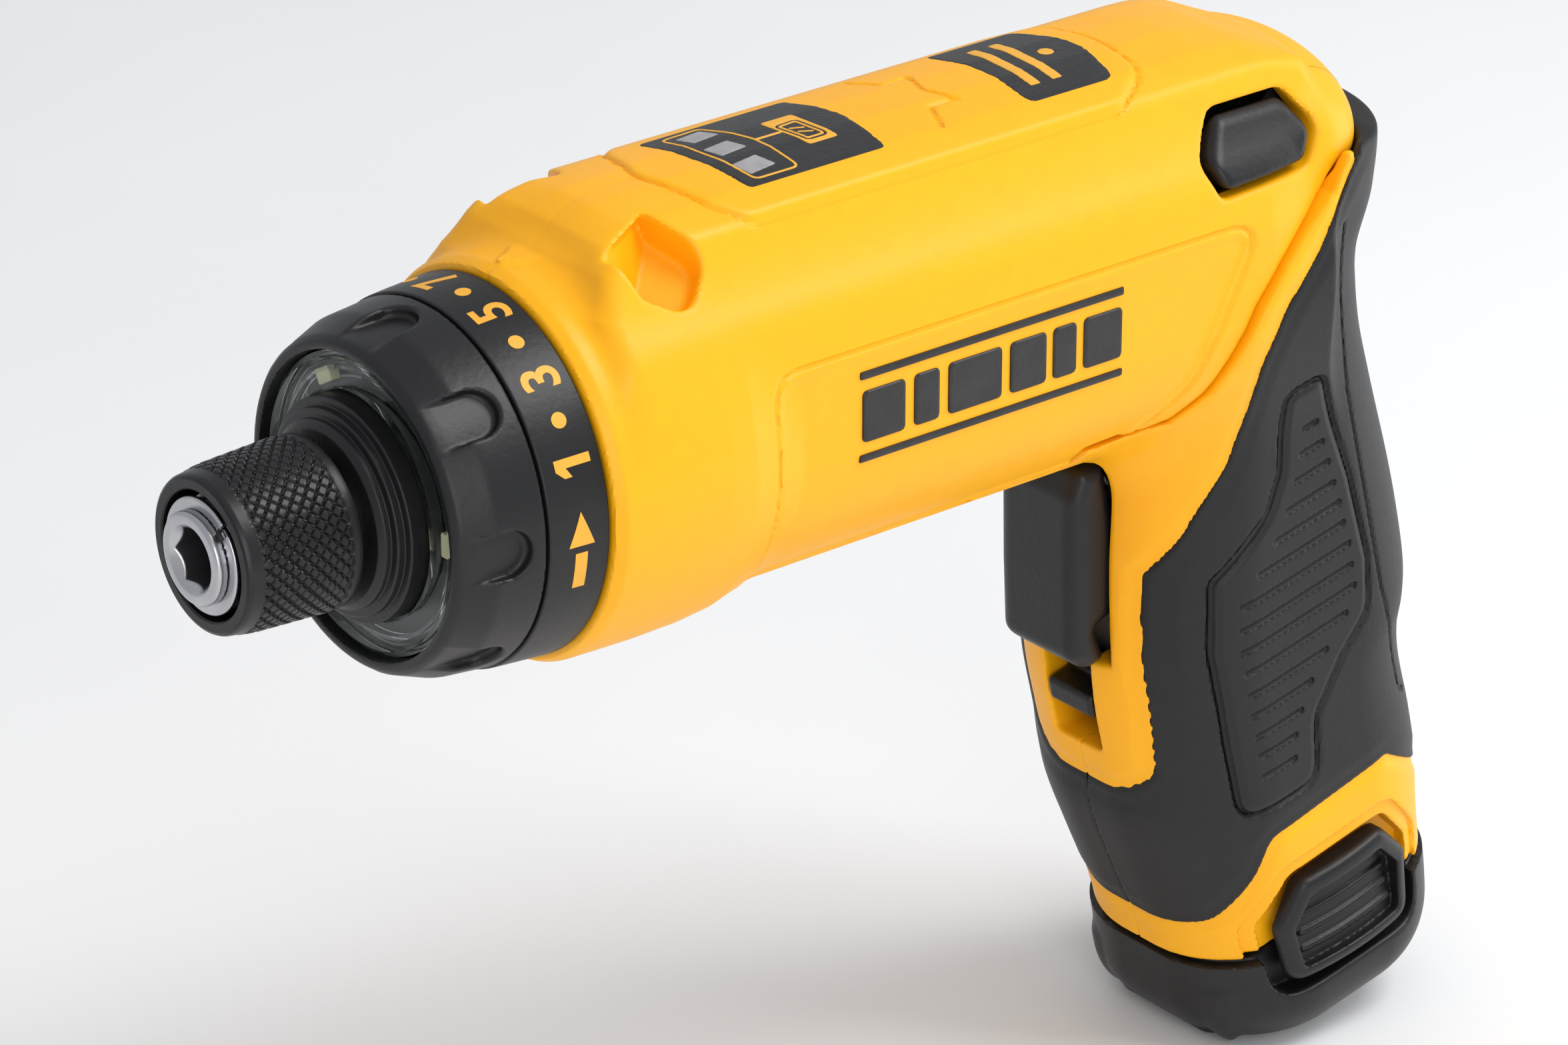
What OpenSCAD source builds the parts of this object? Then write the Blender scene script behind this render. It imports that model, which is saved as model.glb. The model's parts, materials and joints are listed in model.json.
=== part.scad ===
// Two-position cordless drill and screwdriver with a folding pistol handle.
// Frame: origin at the mouth of the bit socket, on the spindle axis.
// +X points the way the bit points, +Z is up, +Y is the tool's left side.
// Distances named "..._s" are measured back from the mouth, towards -X.

/* [Chuck] */
// Distance across the flats of the hexagonal bit socket
socket_flats = 6.45; // [6.35:0.05:6.6]
// Depth of the bit socket
socket_depth = 14; // [12:0.5:16]
// Radius of the spindle
spindle_r = 5.6; // [5.5:0.05:5.7]
// How far the chuck sleeve is pulled forward to free a bit
sleeve_travel = 3.5; // [2.5:0.5:3.5]

/* [Collar] */
// Where the torque collar starts
collar_front_s = 22.2; // [22:0.1:22.4]
// Where the collar ends and the barrel shell starts
collar_back_s = 41.4; // [41:0.1:41.6]
// Largest radius of the torque collar
collar_r = 23; // [22.8:0.1:23.4]

/* [Gears] */
// Tooth module of every gear
gear_module = 0.8; // [0.78:0.01:0.8]
// Teeth on each sun gear and on the motor pinion
sun_teeth = 12; // [12:1:12]
// Teeth on each planet gear
planet_teeth = 12; // [12:1:12]

/* [Barrel] */
// Half of the barrel's greatest width
barrel_half_w = 22.4; // [22:0.1:22.8]
// Height of the crown's ridge above the spindle axis
crown_z = 30.4; // [30:0.1:30.6]
// Thickness of the barrel's wall
barrel_wall = 2.6; // [2.4:0.1:2.8]

/* [Folding hinge] */
// How far the hinge axis is behind the mouth
hinge_back = 156; // [155.5:0.5:156.5]
// How high the hinge axis is above the spindle axis
hinge_up = 16; // [15.5:0.5:16]
// Radius of the rounded rear end of the barrel, about the hinge axis
knuckle_r = 10.6; // [10.5:0.1:10.8]
// Radius of the hinge pin
hinge_pin_r = 2.5; // [2.3:0.1:2.6]

/* [Handle] */
// How far the handle leans back from square with the barrel
handle_lean = 12.5; // [12:0.5:13]
// Half of the grip's width
grip_half_w = 19.2; // [18.8:0.1:19.4]
// Thickness of the rubber skin on the grip
skin_t = 0.9; // [0.8:0.1:1]

/* [Battery pack] */
// Height of the cap that shows below the handle
cap_h = 15.7; // [15.5:0.1:16.5]
// Radius of a battery cell
cell_r = 9; // [8.9:0.05:9]
// Length of a battery cell
cell_len = 64; // [60:1:65]

/* [Hidden] */
$fn = 96;

YELLOW = "#f2a71b";
BLACK = "#262626";
STEEL = "#9a9ca0";
BRASS = "#b08d4a";
GREEN = "#1f5b3a";

far = 200;

// The hinge and the handle's own frame
hinge = [-hinge_back, 0, hinge_up];
grip_origin = [-156, 0, -55];
grip_foot = -38.5;
cap_top = grip_foot - 0.3;
cap_bottom = cap_top - cap_h;
seam_gap = 0.15;
knuckle_half_w = 19.2;

// Outline of the seam under the barrel, from the hinge to the front
seam = [[-hinge_back, hinge_up], [-136, -12.2], [-131.5, -14.5], [-118.5, -14.8]];

// Gear train
pressure_angle = 25;
ring_teeth = sun_teeth + 2 * planet_teeth;
planet_orbit = gear_module * (sun_teeth + planet_teeth) / 2;
addendum = 0.8 * gear_module;
dedendum = 1.05 * gear_module;
backlash = 0.05;
pin_r = 1.5;
ring_outer_r = 17.65;
carrier_r = 12.8;
planet_len = 5.2;
second_s = 52.1;
first_s = 61;

// ---------------------------------------------------------------- helpers

// Children drawn along +Z run backwards from distance s behind the mouth
module back_from(s) {
    translate([-s, 0, 0]) rotate([0, -90, 0]) children();
}

// A solid of revolution about the spindle axis, from [distance, radius] points
module lathe(points) {
    back_from(0) rotate_extrude() polygon([for (p = points) [p[1], p[0]]]);
}

// A plain ring about the spindle axis
module ring(s0, s1, outer, inner) {
    back_from(s0) difference() {
        cylinder(r = outer, h = s1 - s0);
        translate([0, 0, -1]) cylinder(r = inner, h = s1 - s0 + 2);
    }
}

// A plain round bar about the spindle axis
module bar(s0, s1, r) {
    back_from(s0) cylinder(r = r, h = s1 - s0);
}

// A prism across the tool, from points in X and Z
module across(points, y0, y1) {
    translate([0, y1, 0]) rotate([90, 0, 0])
        linear_extrude(height = y1 - y0) polygon(points);
}

// Children drawn in the handle's own frame: +Z runs up the grip, +X forward
module in_grip() {
    translate(grip_origin) rotate([0, handle_lean, 0]) children();
}

// A box given by its lowest and highest corners
module block(lo, hi) {
    translate(lo) cube(hi - lo);
}

// A round bar across the tool, at a point in X and Z
module cross_bar(x, z, r, y0, y1) {
    translate([x, y0, z]) rotate([-90, 0, 0]) cylinder(r = r, h = y1 - y0);
}

// A rectangle with round corners, centred
module round_rect(w, d, r) {
    union() {
        square([w - 2 * r, d], center = true);
        square([w, d - 2 * r], center = true);
        for (sx = [-1, 1], sy = [-1, 1])
            translate([sx * (w / 2 - r), sy * (d / 2 - r)]) circle(r = r);
    }
}

// The left (side = 1) or right (side = -1) half of the space
module half(side) {
    translate([-far, side > 0 ? 0 : -far, -far]) cube([2 * far, far, 2 * far]);
}

// A coil spring along +Z
function coil_point(r, wire, pitch, a, b) = [
    (r + wire * cos(b)) * cos(a),
    (r + wire * cos(b)) * sin(a),
    pitch * a / 360 + wire * sin(b)];

module coil(r, wire, length, turns) {
    sides = 6;
    steps = 14 * turns;
    pitch = (length - 2 * wire) / turns;
    points = [for (i = [0:steps]) for (j = [0:sides - 1])
        coil_point(r, wire, pitch, 360 * turns * i / steps, 360 * j / sides)];
    walls = [for (i = [0:steps - 1]) for (j = [0:sides - 1])
        let(a = i * sides + j, b = i * sides + (j + 1) % sides)
        for (tri = [[a, a + sides, b + sides], [a, b + sides, b]]) tri];
    caps = [[for (j = [0:sides - 1]) j],
            [for (j = [sides - 1:-1:0]) steps * sides + j]];
    translate([0, 0, wire]) polyhedron(points, concat(walls, caps), convexity = 8);
}

// Involute tooth outlines
function involute_angle(r, base) =
    r <= base ? 0 : sqrt(r * r / base / base - 1) * 180 / PI
        - atan(sqrt(r * r / base / base - 1));

function flank(teeth, lo, hi, half_width, steps) = let(
    pitch_r = gear_module * teeth / 2,
    base = pitch_r * cos(pressure_angle))
    [for (i = [0:steps]) let(r = lo + (hi - lo) * i / steps)
        [r, half_width + involute_angle(pitch_r, base) - involute_angle(r, base)]];

// Outline whose teeth reach from radius lo to radius hi; extra widens each side
module toothed(teeth, lo, hi, extra) {
    pitch_r = gear_module * teeth / 2;
    side = flank(teeth, lo, hi, 90 / teeth + extra / pitch_r * 180 / PI, 5);
    polygon([for (k = [0:teeth - 1]) for (i = [0:11])
        let(p = i < 6 ? side[i] : side[11 - i],
            a = 360 * k / teeth + (i < 6 ? -p[1] : p[1]))
        p[0] * [cos(a), sin(a)]]);
}

module sun_outline() {
    r = gear_module * sun_teeth / 2;
    toothed(sun_teeth, r - dedendum, r + addendum, -backlash);
}

module ring_gear(s0, s1) {
    r = gear_module * ring_teeth / 2;
    back_from(s0) linear_extrude(height = s1 - s0) difference() {
        circle(r = ring_outer_r);
        rotate(180 / ring_teeth)
            toothed(ring_teeth, r - addendum, r + dedendum, backlash);
    }
}

module planet(s, turn) {
    r = gear_module * planet_teeth / 2;
    back_from(s) rotate(turn) translate([planet_orbit, 0, 0])
        linear_extrude(height = planet_len) rotate(180 / planet_teeth) difference() {
            toothed(planet_teeth, r - dedendum, r + addendum, -backlash);
            circle(r = pin_r + 0.05);
        }
}

module carrier_pins(s0, s1) {
    for (turn = [0, 120, 240])
        back_from(s0) rotate(turn) translate([planet_orbit, 0, 0])
            cylinder(r = pin_r, h = s1 - s0);
}

// ------------------------------------------------------------ barrel shapes

// Half outline of the barrel above the spindle axis, left side, as [y, z]
crown_side = [[22.4, 0], [22.2, 11], [18.4, 18.6], [13.5, 26.9], [9.5, 28.8], [4.8, 30]];

module barrel_section(inset) {
    sy = (barrel_half_w - inset) / 22.4;
    sz = (crown_z - inset) / 30.4;
    upper = [for (p = crown_side) [p[1] * sz, p[0] * sy]];
    lower = [for (i = [len(upper) - 1:-1:0]) [upper[i][0], -upper[i][1]]];
    union() {
        circle(r = barrel_half_w - inset);
        polygon(concat(upper, [[crown_z - inset, 0]], lower));
    }
}

// The rounded rear end of the barrel, turned about the hinge axis
module knuckle(extra) {
    reach = knuckle_half_w + extra;
    translate(hinge) rotate([90, 0, 0]) rotate_extrude()
        polygon([for (i = [-12:12]) let(a = 7.5 * i)
            [(knuckle_r + extra) * cos(a), reach * sin(a)]]);
}

// Everything below the seam, lowered by the gap
module below_seam(gap, y0, y1) {
    across(concat([for (p = seam) [p[0], p[1] - gap]],
        [[-118.5 - gap, -14.8 - gap], [-118.5 - gap, -far],
         [-far - 60, -far], [-far - 60, hinge_up - gap]]), y0, y1);
}

module barrel_body(inset) {
    side = [[-46 - inset, -far], [-hinge_back - 1, -far], [-hinge_back - 1, 26.8 - inset],
        [-150, 28.9 - inset], [-141, crown_z - inset], [-57, crown_z - inset],
        [-51, 27.6 - inset], [-46 - inset, 23.4 - inset]];
    plan = [[-46 - inset, barrel_half_w - inset], [-146, barrel_half_w - inset],
        [-hinge_back - 1, 18.8 - inset]];
    union() {
        lathe([[collar_back_s + 0.4, 0], [collar_back_s + 0.4, 23.8 - inset],
            [44.5, 24.4 - inset], [60, 24.4 - inset], [68, 22 - inset], [68, 0]]);
        difference() {
            intersection() {
                back_from(46 + inset) linear_extrude(height = hinge_back - 45 - inset)
                    barrel_section(inset);
                across(side, -far, far);
                linear_extrude(height = 2 * far, center = true)
                    polygon(concat(plan, [for (i = [2:-1:0]) [plan[i][0], -plan[i][1]]]));
            }
            translate([0, 0, inset]) below_seam(-seam_gap, -far, far);
        }
    }
}

// Room swept by the hinge web inside the barrel
web_r = 34;
web_half = 8;
hub_r = 8.2;
hub_half = 12;

module hinge_room() {
    union() {
        intersection() {
            cross_bar(hinge[0], hinge[2], web_r + 0.4, -web_half - 0.3, web_half + 0.3);
            block([-hinge_back, -far, -far], [0, far, 25.2]);
        }
        intersection() {
            cross_bar(hinge[0], hinge[2], web_r + 0.4, -web_half - 0.3, web_half + 0.3);
            across([[hinge[0], hinge[2]], [0, hinge[2]], [0, -far],
                [-2 * far, -far], [-2 * far, hinge[2] - 110]], -far, far);
        }
        cross_bar(hinge[0], hinge[2], hub_r + 0.3, -hub_half - 0.3, hub_half + 0.3);
    }
}

label_front = [-93, -73];
label_rear = [-130, -115];
label_t = 0.9;

// Two plates sunk into the crown
module label_area(extra) {
    for (span = [label_front, label_rear])
        block([span[0] - extra, -9.4 - extra, 25], [span[1] + extra, 9.4 + extra, far]);
}

module label_pockets() {
    difference() {
        label_area(0.1);
        barrel_body(label_t);
    }
}

button_outline = [[-134, 17.6], [-137.8, 23], [-149, 23], [-151.6, 19.6],
    [-149.6, 15.9], [-136, 15.9]];

badge = [[-121, -3], [-79, -3], [-79, 7], [-121, 7]];
badge_t = 1;

barrel_bosses = [[-56.5, 23.4], [-119, 23.4], [-113.6, -17.6]];
boss_r = 2.6;
screw_r = 1.2;

module barrel_half(side) {
    intersection() {
        half(side);
        difference() {
            union() {
                difference() {
                    union() {
                        barrel_body(0);
                        knuckle(0);
                    }
                    barrel_body(barrel_wall);
                    ring(collar_back_s, 46, 18.4, 0);
                    ring(44, 70, 19.6, 0);
                }
                // Motor cradles
                for (s = [76, 102]) intersection() {
                    ring(s, s + 2, 22, 14);
                    barrel_body(1);
                }
                // Ears that carry the hinge pin
                intersection() {
                    union() {
                        cross_bar(hinge[0], hinge[2], 6, hub_half + 0.4, far);
                        cross_bar(hinge[0], hinge[2], 6, -far, -hub_half - 0.4);
                    }
                    barrel_body(1);
                }
                for (p = barrel_bosses) intersection() {
                    cross_bar(p[0], p[1], boss_r, -12, 12);
                    barrel_body(1);
                }
            }
            hinge_room();
            cross_bar(hinge[0], hinge[2], hinge_pin_r, -17.2, 17.2);
            for (p = barrel_bosses) cross_bar(p[0], p[1], screw_r, -7, 7);
            for (p = barrel_bosses) cross_bar(p[0], p[1], 2.3, -far, -7);
            label_pockets();
            across(button_outline, -far, -12.4);
            across(button_outline, 12.4, far);
            across(badge, barrel_half_w - badge_t, far);
            across(badge, -far, -barrel_half_w + badge_t);
        }
    }
}

module barrel_shell_left() { color(YELLOW) barrel_half(1); }
module barrel_shell_right() { color(YELLOW) barrel_half(-1); }

module barrel_screws() {
    color(STEEL) for (p = barrel_bosses) union() {
        cross_bar(p[0], p[1], screw_r - 0.02, -7.2, 6.8);
        cross_bar(p[0], p[1], 2.2, -9.2, -7.02);
    }
}

module hinge_pin() {
    color(STEEL) cross_bar(hinge[0], hinge[2], hinge_pin_r - 0.02, -17, 17);
}

module side_badges() {
    color(BLACK) for (side = [-1, 1]) {
        y = barrel_half_w - badge_t;
        across([for (p = badge) [p[0], p[1]]], side > 0 ? y : -y - badge_t,
            side > 0 ? y + badge_t : -y);
    }
}

module top_labels() {
    color(BLACK) intersection() {
        label_area(0);
        difference() {
            barrel_body(0.1);
            barrel_body(label_t);
        }
    }
}

module level_board() {
    color(GREEN) block([-94, -8, 22.6], [-74, 8, 24.2]);
}

// The side buttons sit almost flush in their pockets and slide inwards
button_shrink = 0.4;

function shrunk(points, d) = let(
    cx = (points[0][0] + points[3][0]) / 2,
    cz = (points[1][1] + points[5][1]) / 2)
    [for (p = points) [cx + (p[0] - cx) * (1 - d / 8), cz + (p[1] - cz) * (1 - d / 3.6)]];

module release_button(side) {
    color(BLACK) mirror([0, side > 0 ? 0 : 1, 0]) intersection() {
        across(shrunk(button_outline, button_shrink), 14.6, far);
        barrel_body(-0.3);
    }
}

module release_button_left() { release_button(1); }
module release_button_right() { release_button(-1); }

// Pawls that lock the fold, each drawn lifted clear of its notch
pawl_lift = 0.2;

module lock_pawl(side) {
    nose_x = hinge[0] + hub_r + pawl_lift;
    color(STEEL) mirror([0, side > 0 ? 0 : 1, 0])
        block([nose_x, web_half + 0.8, hinge[2] - 1.4],
            [nose_x + 9, hub_half - 0.4, hinge[2] + 1.4]);
}

module lock_pawl_left() { lock_pawl(1); }
module lock_pawl_right() { lock_pawl(-1); }

// ---------------------------------------------------------- collar and nose

module collar_grip() {
    color(BLACK) lathe([[collar_front_s, 18.3], [collar_front_s, 19.2],
        [collar_front_s + 0.7, 19.9], [collar_front_s + 4.8, collar_r - 1.6],
        [33.2, collar_r - 0.8], [33.2, 19.6], [24.6, 19.6], [24.6, 18.3]]);
}

module number_ring() {
    color(BLACK) lathe([[33.2, 19.6], [33.2, collar_r - 0.6],
        [collar_back_s, collar_r], [collar_back_s, 19.6]]);
}

module nose_cone() {
    color(BLACK) lathe([[18.2, 6], [18.2, 10.6], [18.8, 11.3], [19.6, 11.3],
        [19.6, 12.4], [20.7, 12.4], [20.7, 13.4], [24.5, 13.4], [24.5, 6]]);
}

module front_bushing() {
    color(BRASS) ring(25, 35, 7.98, spindle_r + 0.04);
}

module lens_ring() {
    color("white") lathe([[22.9, 13.7], [22.9, 17.4], [23.5, 18], [26, 18], [26, 16.9],
        [24.3, 16.9], [24.3, 13.7]]);
}

module light_board() {
    color(GREEN) union() {
        ring(26, 27.2, 18, 13.1);
        for (turn = [90, 210, 330]) back_from(24.6) rotate(turn)
            translate([15.2, 0, 0.8]) cube([1.8, 3, 1.4], center = true);
    }
}

clutch_holes = 6;
clutch_orbit = 15.3;

module gear_case() {
    color(STEEL) difference() {
        lathe([[24.6, 8], [24.6, 13], [46, 13], [46, 19.4], [70, 19.4],
            [70, 17.7], [48.4, 17.7], [48.4, 8]]);
        for (k = [1:clutch_holes])
            back_from(45) rotate(360 * k / clutch_holes)
                translate([clutch_orbit, 0, 0]) cylinder(r = 1.6, h = 5);
    }
}

module clutch_nut() { color(BLACK) ring(30, 33, 18.8, 13.1); }
module clutch_plate() { color(STEEL) ring(42.3, 43.4, 17.6, 13.1); }

module clutch_spring() {
    color(STEEL) back_from(33.1) coil(15.4, 0.9, 9.1, 4);
}

module clutch_pins() {
    color(STEEL) for (k = [1:clutch_holes])
        back_from(43.4) rotate(360 * k / clutch_holes)
            translate([clutch_orbit, 0, 0]) cylinder(r = 1.5, h = 5.6);
}

// ------------------------------------------------------- gear train and motor

module ring_gear_clutch() { color(STEEL) ring_gear(49, 58); }
module ring_gear_fixed() { color(STEEL) ring_gear(58.3, 67); }

module planet_second_a() { color(STEEL) planet(second_s, 0); }
module planet_second_b() { color(STEEL) planet(second_s, 120); }
module planet_second_c() { color(STEEL) planet(second_s, 240); }
module planet_first_a() { color(STEEL) planet(first_s, 0); }
module planet_first_b() { color(STEEL) planet(first_s, 120); }
module planet_first_c() { color(STEEL) planet(first_s, 240); }

module output_carrier() {
    color(STEEL) union() {
        ring(49.3, 51.7, carrier_r, spindle_r + 0.02);
        carrier_pins(51.7, 57.5);
    }
}

module carrier_first() {
    color(STEEL) union() {
        bar(58.6, 60.6, carrier_r);
        back_from(52.3) linear_extrude(height = 6.3) sun_outline();
        carrier_pins(60.6, 66.4);
    }
}

module motor_pinion() {
    color(BRASS) back_from(61.2) linear_extrude(height = 5.8) difference() {
        sun_outline();
        circle(r = 1.52);
    }
}

module motor_shaft() { color(STEEL) bar(61.2, 112.5, 1.5); }

module motor_armature() {
    color(BRASS) union() {
        ring(75, 98, 10.4, 1.52);
        ring(98, 104, 4, 1.52);
    }
}

module motor_plate() { color(STEEL) ring(67.2, 69.2, ring_outer_r, 3.5); }

module motor_can() {
    color(STEEL) lathe([[69.4, 1.55], [69.4, 13.85], [108, 13.85], [108, 12.6],
        [72, 12.6], [72, 1.55]]);
}

module motor_end_cap() {
    color(BLACK) lathe([[106, 8], [106, 12.5], [108, 12.5], [108, 13.85],
        [111, 13.85], [111, 1.55], [108, 1.55], [108, 8]]);
}

// ------------------------------------------------------------- chuck

module spindle() {
    color(STEEL) difference() {
        bar(0, 51.7, spindle_r);
        back_from(-1) cylinder(r = socket_flats / 2 / cos(30), h = socket_depth + 1, $fn = 6);
        ring(1.35, 2.25, spindle_r + 1, spindle_r - 0.5);
        translate([-11.5, 0, 0]) cylinder(r = 1.55, h = 10);
    }
}

module retaining_ring() {
    color(STEEL) ring(1.4, 2.2, 7, spindle_r - 0.48);
}

module bit_ball() {
    color(STEEL) translate([-11.5, 0, 4.05]) sphere(r = 1.5);
}

module chuck_sleeve() {
    color(BLACK) lathe([[1.5, 7.7], [1.5, 8.9], [2, 9.4], [5.4, 9.8], [16, 10.4],
        [16.5, 10], [16.5, 7.1], [16, 7], [10.8, spindle_r + 0.1],
        [10.8, spindle_r + 0.06], [8.6, spindle_r + 0.06], [8.6, 7.7]]);
}

module sleeve_spring() {
    color(STEEL) back_from(2.25) coil(6.5, 0.35, 6.3, 4);
}

// ------------------------------------------------------------- handle shapes

// Outline of the handle from the side, in the grip's own frame
function grip_outline(d) = [
    [20.3 - d, grip_foot], [21.3 - d, -31], [24.4 - d, -16], [24.6 - d, 3],
    [23.6 - d, 12], [21.8 - d, 23], [19.4 - d, 33], [19.4 - d, 37.4], [31 - d, 39.6],
    [31 - d, 60], [-28.4 + d, 60], [-25.4 + d, 52], [-23.8 + d, 43], [-25.5 + d, 20],
    [-25.8 + d, 8], [-22.9 + d, -8], [-23.2 + d, -22], [-22.2 + d, grip_foot]];

// Rounded cradle that wraps the barrel's knuckle from behind
module cradle_blank(inset) {
    outer = 14.8 - inset;
    wide = 19.9 - inset;
    intersection() {
        translate(hinge) rotate([90, 0, 0]) rotate_extrude()
            polygon([for (i = [-12:12]) let(a = 7.5 * i)
                [outer * cos(a), wide * sin(a)]]);
        block([-far, -far, -far], [hinge[0] + 7, far, hinge[2] + 0.2]);
    }
}

module handle_blank(inset) {
    difference() {
        union() {
            intersection() {
                in_grip() translate([0, grip_half_w - inset, 0]) rotate([90, 0, 0])
                    linear_extrude(height = 2 * (grip_half_w - inset))
                    polygon(grip_outline(inset));
                in_grip() translate([-0.65, 0, grip_foot])
                    linear_extrude(height = 100)
                    round_rect(50.5 - 2 * inset, 2 * (grip_half_w - inset), 16 - inset);
                below_seam(seam_gap + inset, -far, far);
                block([-far, -far, -far], [-118.7 - inset, far, hinge_up - 4]);
            }
            cradle_blank(inset);
        }
        knuckle(0.3 + inset);
        // Above the seam the barrel fills the space
        across([for (p = [[-hinge_back, hinge_up], [-136, -12.2], [-131.5, -14.5],
            [-118.5, -14.8], [0, -14.8], [0, far], [-hinge_back, far]])
            [p[0], p[1] - seam_gap]], -far, far);
    }
}

// Side view of the area that the rubber covers
rubber_area = [[-200, 14], [-163, 12], [-159.2, 8.5], [-151.8, -3.1], [-145.5, -8.7],
    [-142.7, -20.5], [-135.8, -26.9], [-129.5, -31.4], [-127.7, -34.1],
    [-128.7, -50], [-118, -50], [-118, -76], [-133.8, -82.3], [-141.9, -85.6],
    [-151.1, -78.6], [-170, -71.2], [-200, -66]];

module overmould(side) {
    color(BLACK) intersection() {
        half(side);
        across(rubber_area, -far, far);
        difference() {
            handle_blank(0);
            handle_blank(skin_t);
            web_foot(0.05);
            front_openings();
            latch_room();
        }
    }
}

// Openings for the trigger and for the lock-off slider
module front_openings() {
    in_grip() {
        across(trigger_window, -7.6, 7.6);
        block([14, -4.4, -5], [60, 4.4, 9.4]);
    }
}

module grip_overmould_left() { overmould(1); }
module grip_overmould_right() { overmould(-1); }

stem_top = 14.4;
stem_x = -0.45;
handle_bosses = [[-17.3, 31], [-10, 38.5], [-17.3, 20]];
trigger_window = [[10, 9.2], [60, 9.2], [60, 38.4], [10, 38.4]];

// Room for the battery stem, and above it the room for the switch
module handle_cavity() {
    union() {
        translate([stem_x, 0, grip_foot - 1]) linear_extrude(height = 15.4 - grip_foot)
            round_rect(38.7, 20.8, 3.4);
        block([-20, -12.6, 14], [17, 12.6, 34]);
    }
}

module handle_half(side) {
    intersection() {
        half(side);
        difference() {
            union() {
                difference() {
                    handle_blank(0);
                    intersection() {
                        across(rubber_area, -far, far);
                        difference() {
                            handle_blank(-1);
                            handle_blank(skin_t);
                        }
                    }
                    in_grip() handle_cavity();
                }
                in_grip() for (p = handle_bosses)
                    cross_bar(p[0], p[1], 2.6, -12.6, 12.6);
            }
            web_foot(0.05);
            in_grip() for (p = handle_bosses)
                cross_bar(p[0], p[1], screw_r, -7, 7);
            in_grip() for (p = handle_bosses)
                cross_bar(p[0], p[1], 2.3, -far, -7);
            front_openings();
            // Notches for the pack's latches
            latch_room();
        }
    }
}

module handle_shell_left() { color(YELLOW) handle_half(1); }
module handle_shell_right() { color(YELLOW) handle_half(-1); }

module handle_screws() {
    color(STEEL) in_grip() for (p = handle_bosses) union() {
        cross_bar(p[0], p[1], screw_r - 0.02, -7.2, 6.8);
        cross_bar(p[0], p[1], 2.2, -9.2, -7.02);
    }
}

// The web's foot, held between the handle's halves
foot = [[-156, 16], [-138, -9.4], [-136, -16.2], [-136, -22.5], [-146, -22.5]];

module web_foot(extra) {
    across([for (p = foot) [p[0] + (p[0] > -140 ? extra : -extra), p[1] - extra]],
        -web_half - extra, web_half + extra);
}

module hinge_web() {
    color(BLACK) difference() {
        union() {
            cross_bar(hinge[0], hinge[2], hub_r, -hub_half, hub_half);
            difference() {
                intersection() {
                    cross_bar(hinge[0], hinge[2], web_r, -web_half, web_half);
                    block([hinge[0], -far, -far], [0, far, 25]);
                }
                below_seam(0, -far, far);
            }
            web_foot(0);
        }
        cross_bar(hinge[0], hinge[2], hinge_pin_r + 0.04, -far, far);
        // Notches that the pawls drop into
        for (turn = [0, 90 - handle_lean])
            translate(hinge) rotate([0, -turn, 0])
                block([hub_r - 2, -far, -1.7], [hub_r + 1, far, 1.7]);
    }
}

module switch_module() {
    color(BLACK) in_grip() block([-2, -9, 19], [13.5, 9, 30]);
}

module control_board() {
    color(GREEN) in_grip() block([-10, -12, 19], [-8.4, 12, 31]);
}

module terminal_block() {
    color(BLACK) in_grip() block([-14, -10, 15], [12, 10, 18.4]);
}

trigger_front = [[22.8, 10.2], [25.5, 9.6], [28.2, 11.5], [27.9, 15], [26.5, 22.4],
    [23.7, 34.1], [22, 37.4], [18, 37.4], [18, 15.8], [23.6, 15]];
trigger_hollow = [[10, 11.8], [25, 11], [26.7, 12.6], [26.4, 15], [25, 22],
    [22.2, 33.4], [21, 36], [10, 36]];

module trigger() {
    color(BLACK) in_grip() union() {
        difference() {
            across(trigger_front, -7.3, 7.3);
            across(trigger_hollow, -6, 6);
        }
        across([[18.6, 18], [26, 18], [24.8, 25], [18.6, 25]], -3, 3);
    }
}

module trigger_spring() {
    color(STEEL) in_grip() translate([13.6, 0, 29.4]) rotate([0, 90, 0])
        coil(2, 0.4, 9.2, 4);
}

module lock_off_slider() {
    color(BLACK) in_grip() block([19.6, -4.1, 0.4], [24.8, 4.1, 3.8]);
}

// ------------------------------------------------------------- battery pack

latch_outline = [[-9.8, cap_top - 5.8], [12.4, cap_top - 5.8], [12.9, -33.6],
    [6.8, -26.6], [-5.8, -26.6], [-10.2, -33.4]];
latch_y = 16.6;

module latch_room() {
    in_grip() for (side = [-1, 1]) mirror([0, side > 0 ? 0 : 1, 0])
        across([for (p = latch_outline) [p[0] * 1.04, p[1] + (p[1] > -30 ? 0.4 : 0)]],
            latch_y - 2.2, far);
}

module pack_latch(side) {
    color(BLACK) in_grip() mirror([0, side > 0 ? 0 : 1, 0])
        across(latch_outline, latch_y, grip_half_w + 0.9);
}

module pack_latch_left() { pack_latch(1); }
module pack_latch_right() { pack_latch(-1); }

module pack_cap() {
    color(BLACK) difference() {
        in_grip() union() {
            translate([0.2, 0, cap_bottom + 3]) linear_extrude(height = cap_h - 3)
                round_rect(40.8, 37.6, 14.5);
            translate([0.2, 0, cap_bottom]) linear_extrude(height = 3)
                round_rect(36.4, 31.6, 13);
        }
        in_grip() translate([stem_x, 0, cap_bottom + 3]) linear_extrude(height = cap_h)
            round_rect(38, 20.1, 3.1);
        latch_room();
    }
}

module pack_stem() {
    color(BLACK) in_grip() translate([stem_x, 0, 0]) difference() {
        translate([0, 0, cap_bottom + 3]) linear_extrude(height = stem_top - cap_bottom - 3)
            round_rect(37.9, 20, 3);
        translate([0, 0, cap_bottom + 2]) linear_extrude(height = stem_top - cap_bottom - 3.4)
            round_rect(36.4, 18.4, 2.4);
    }
}

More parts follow.
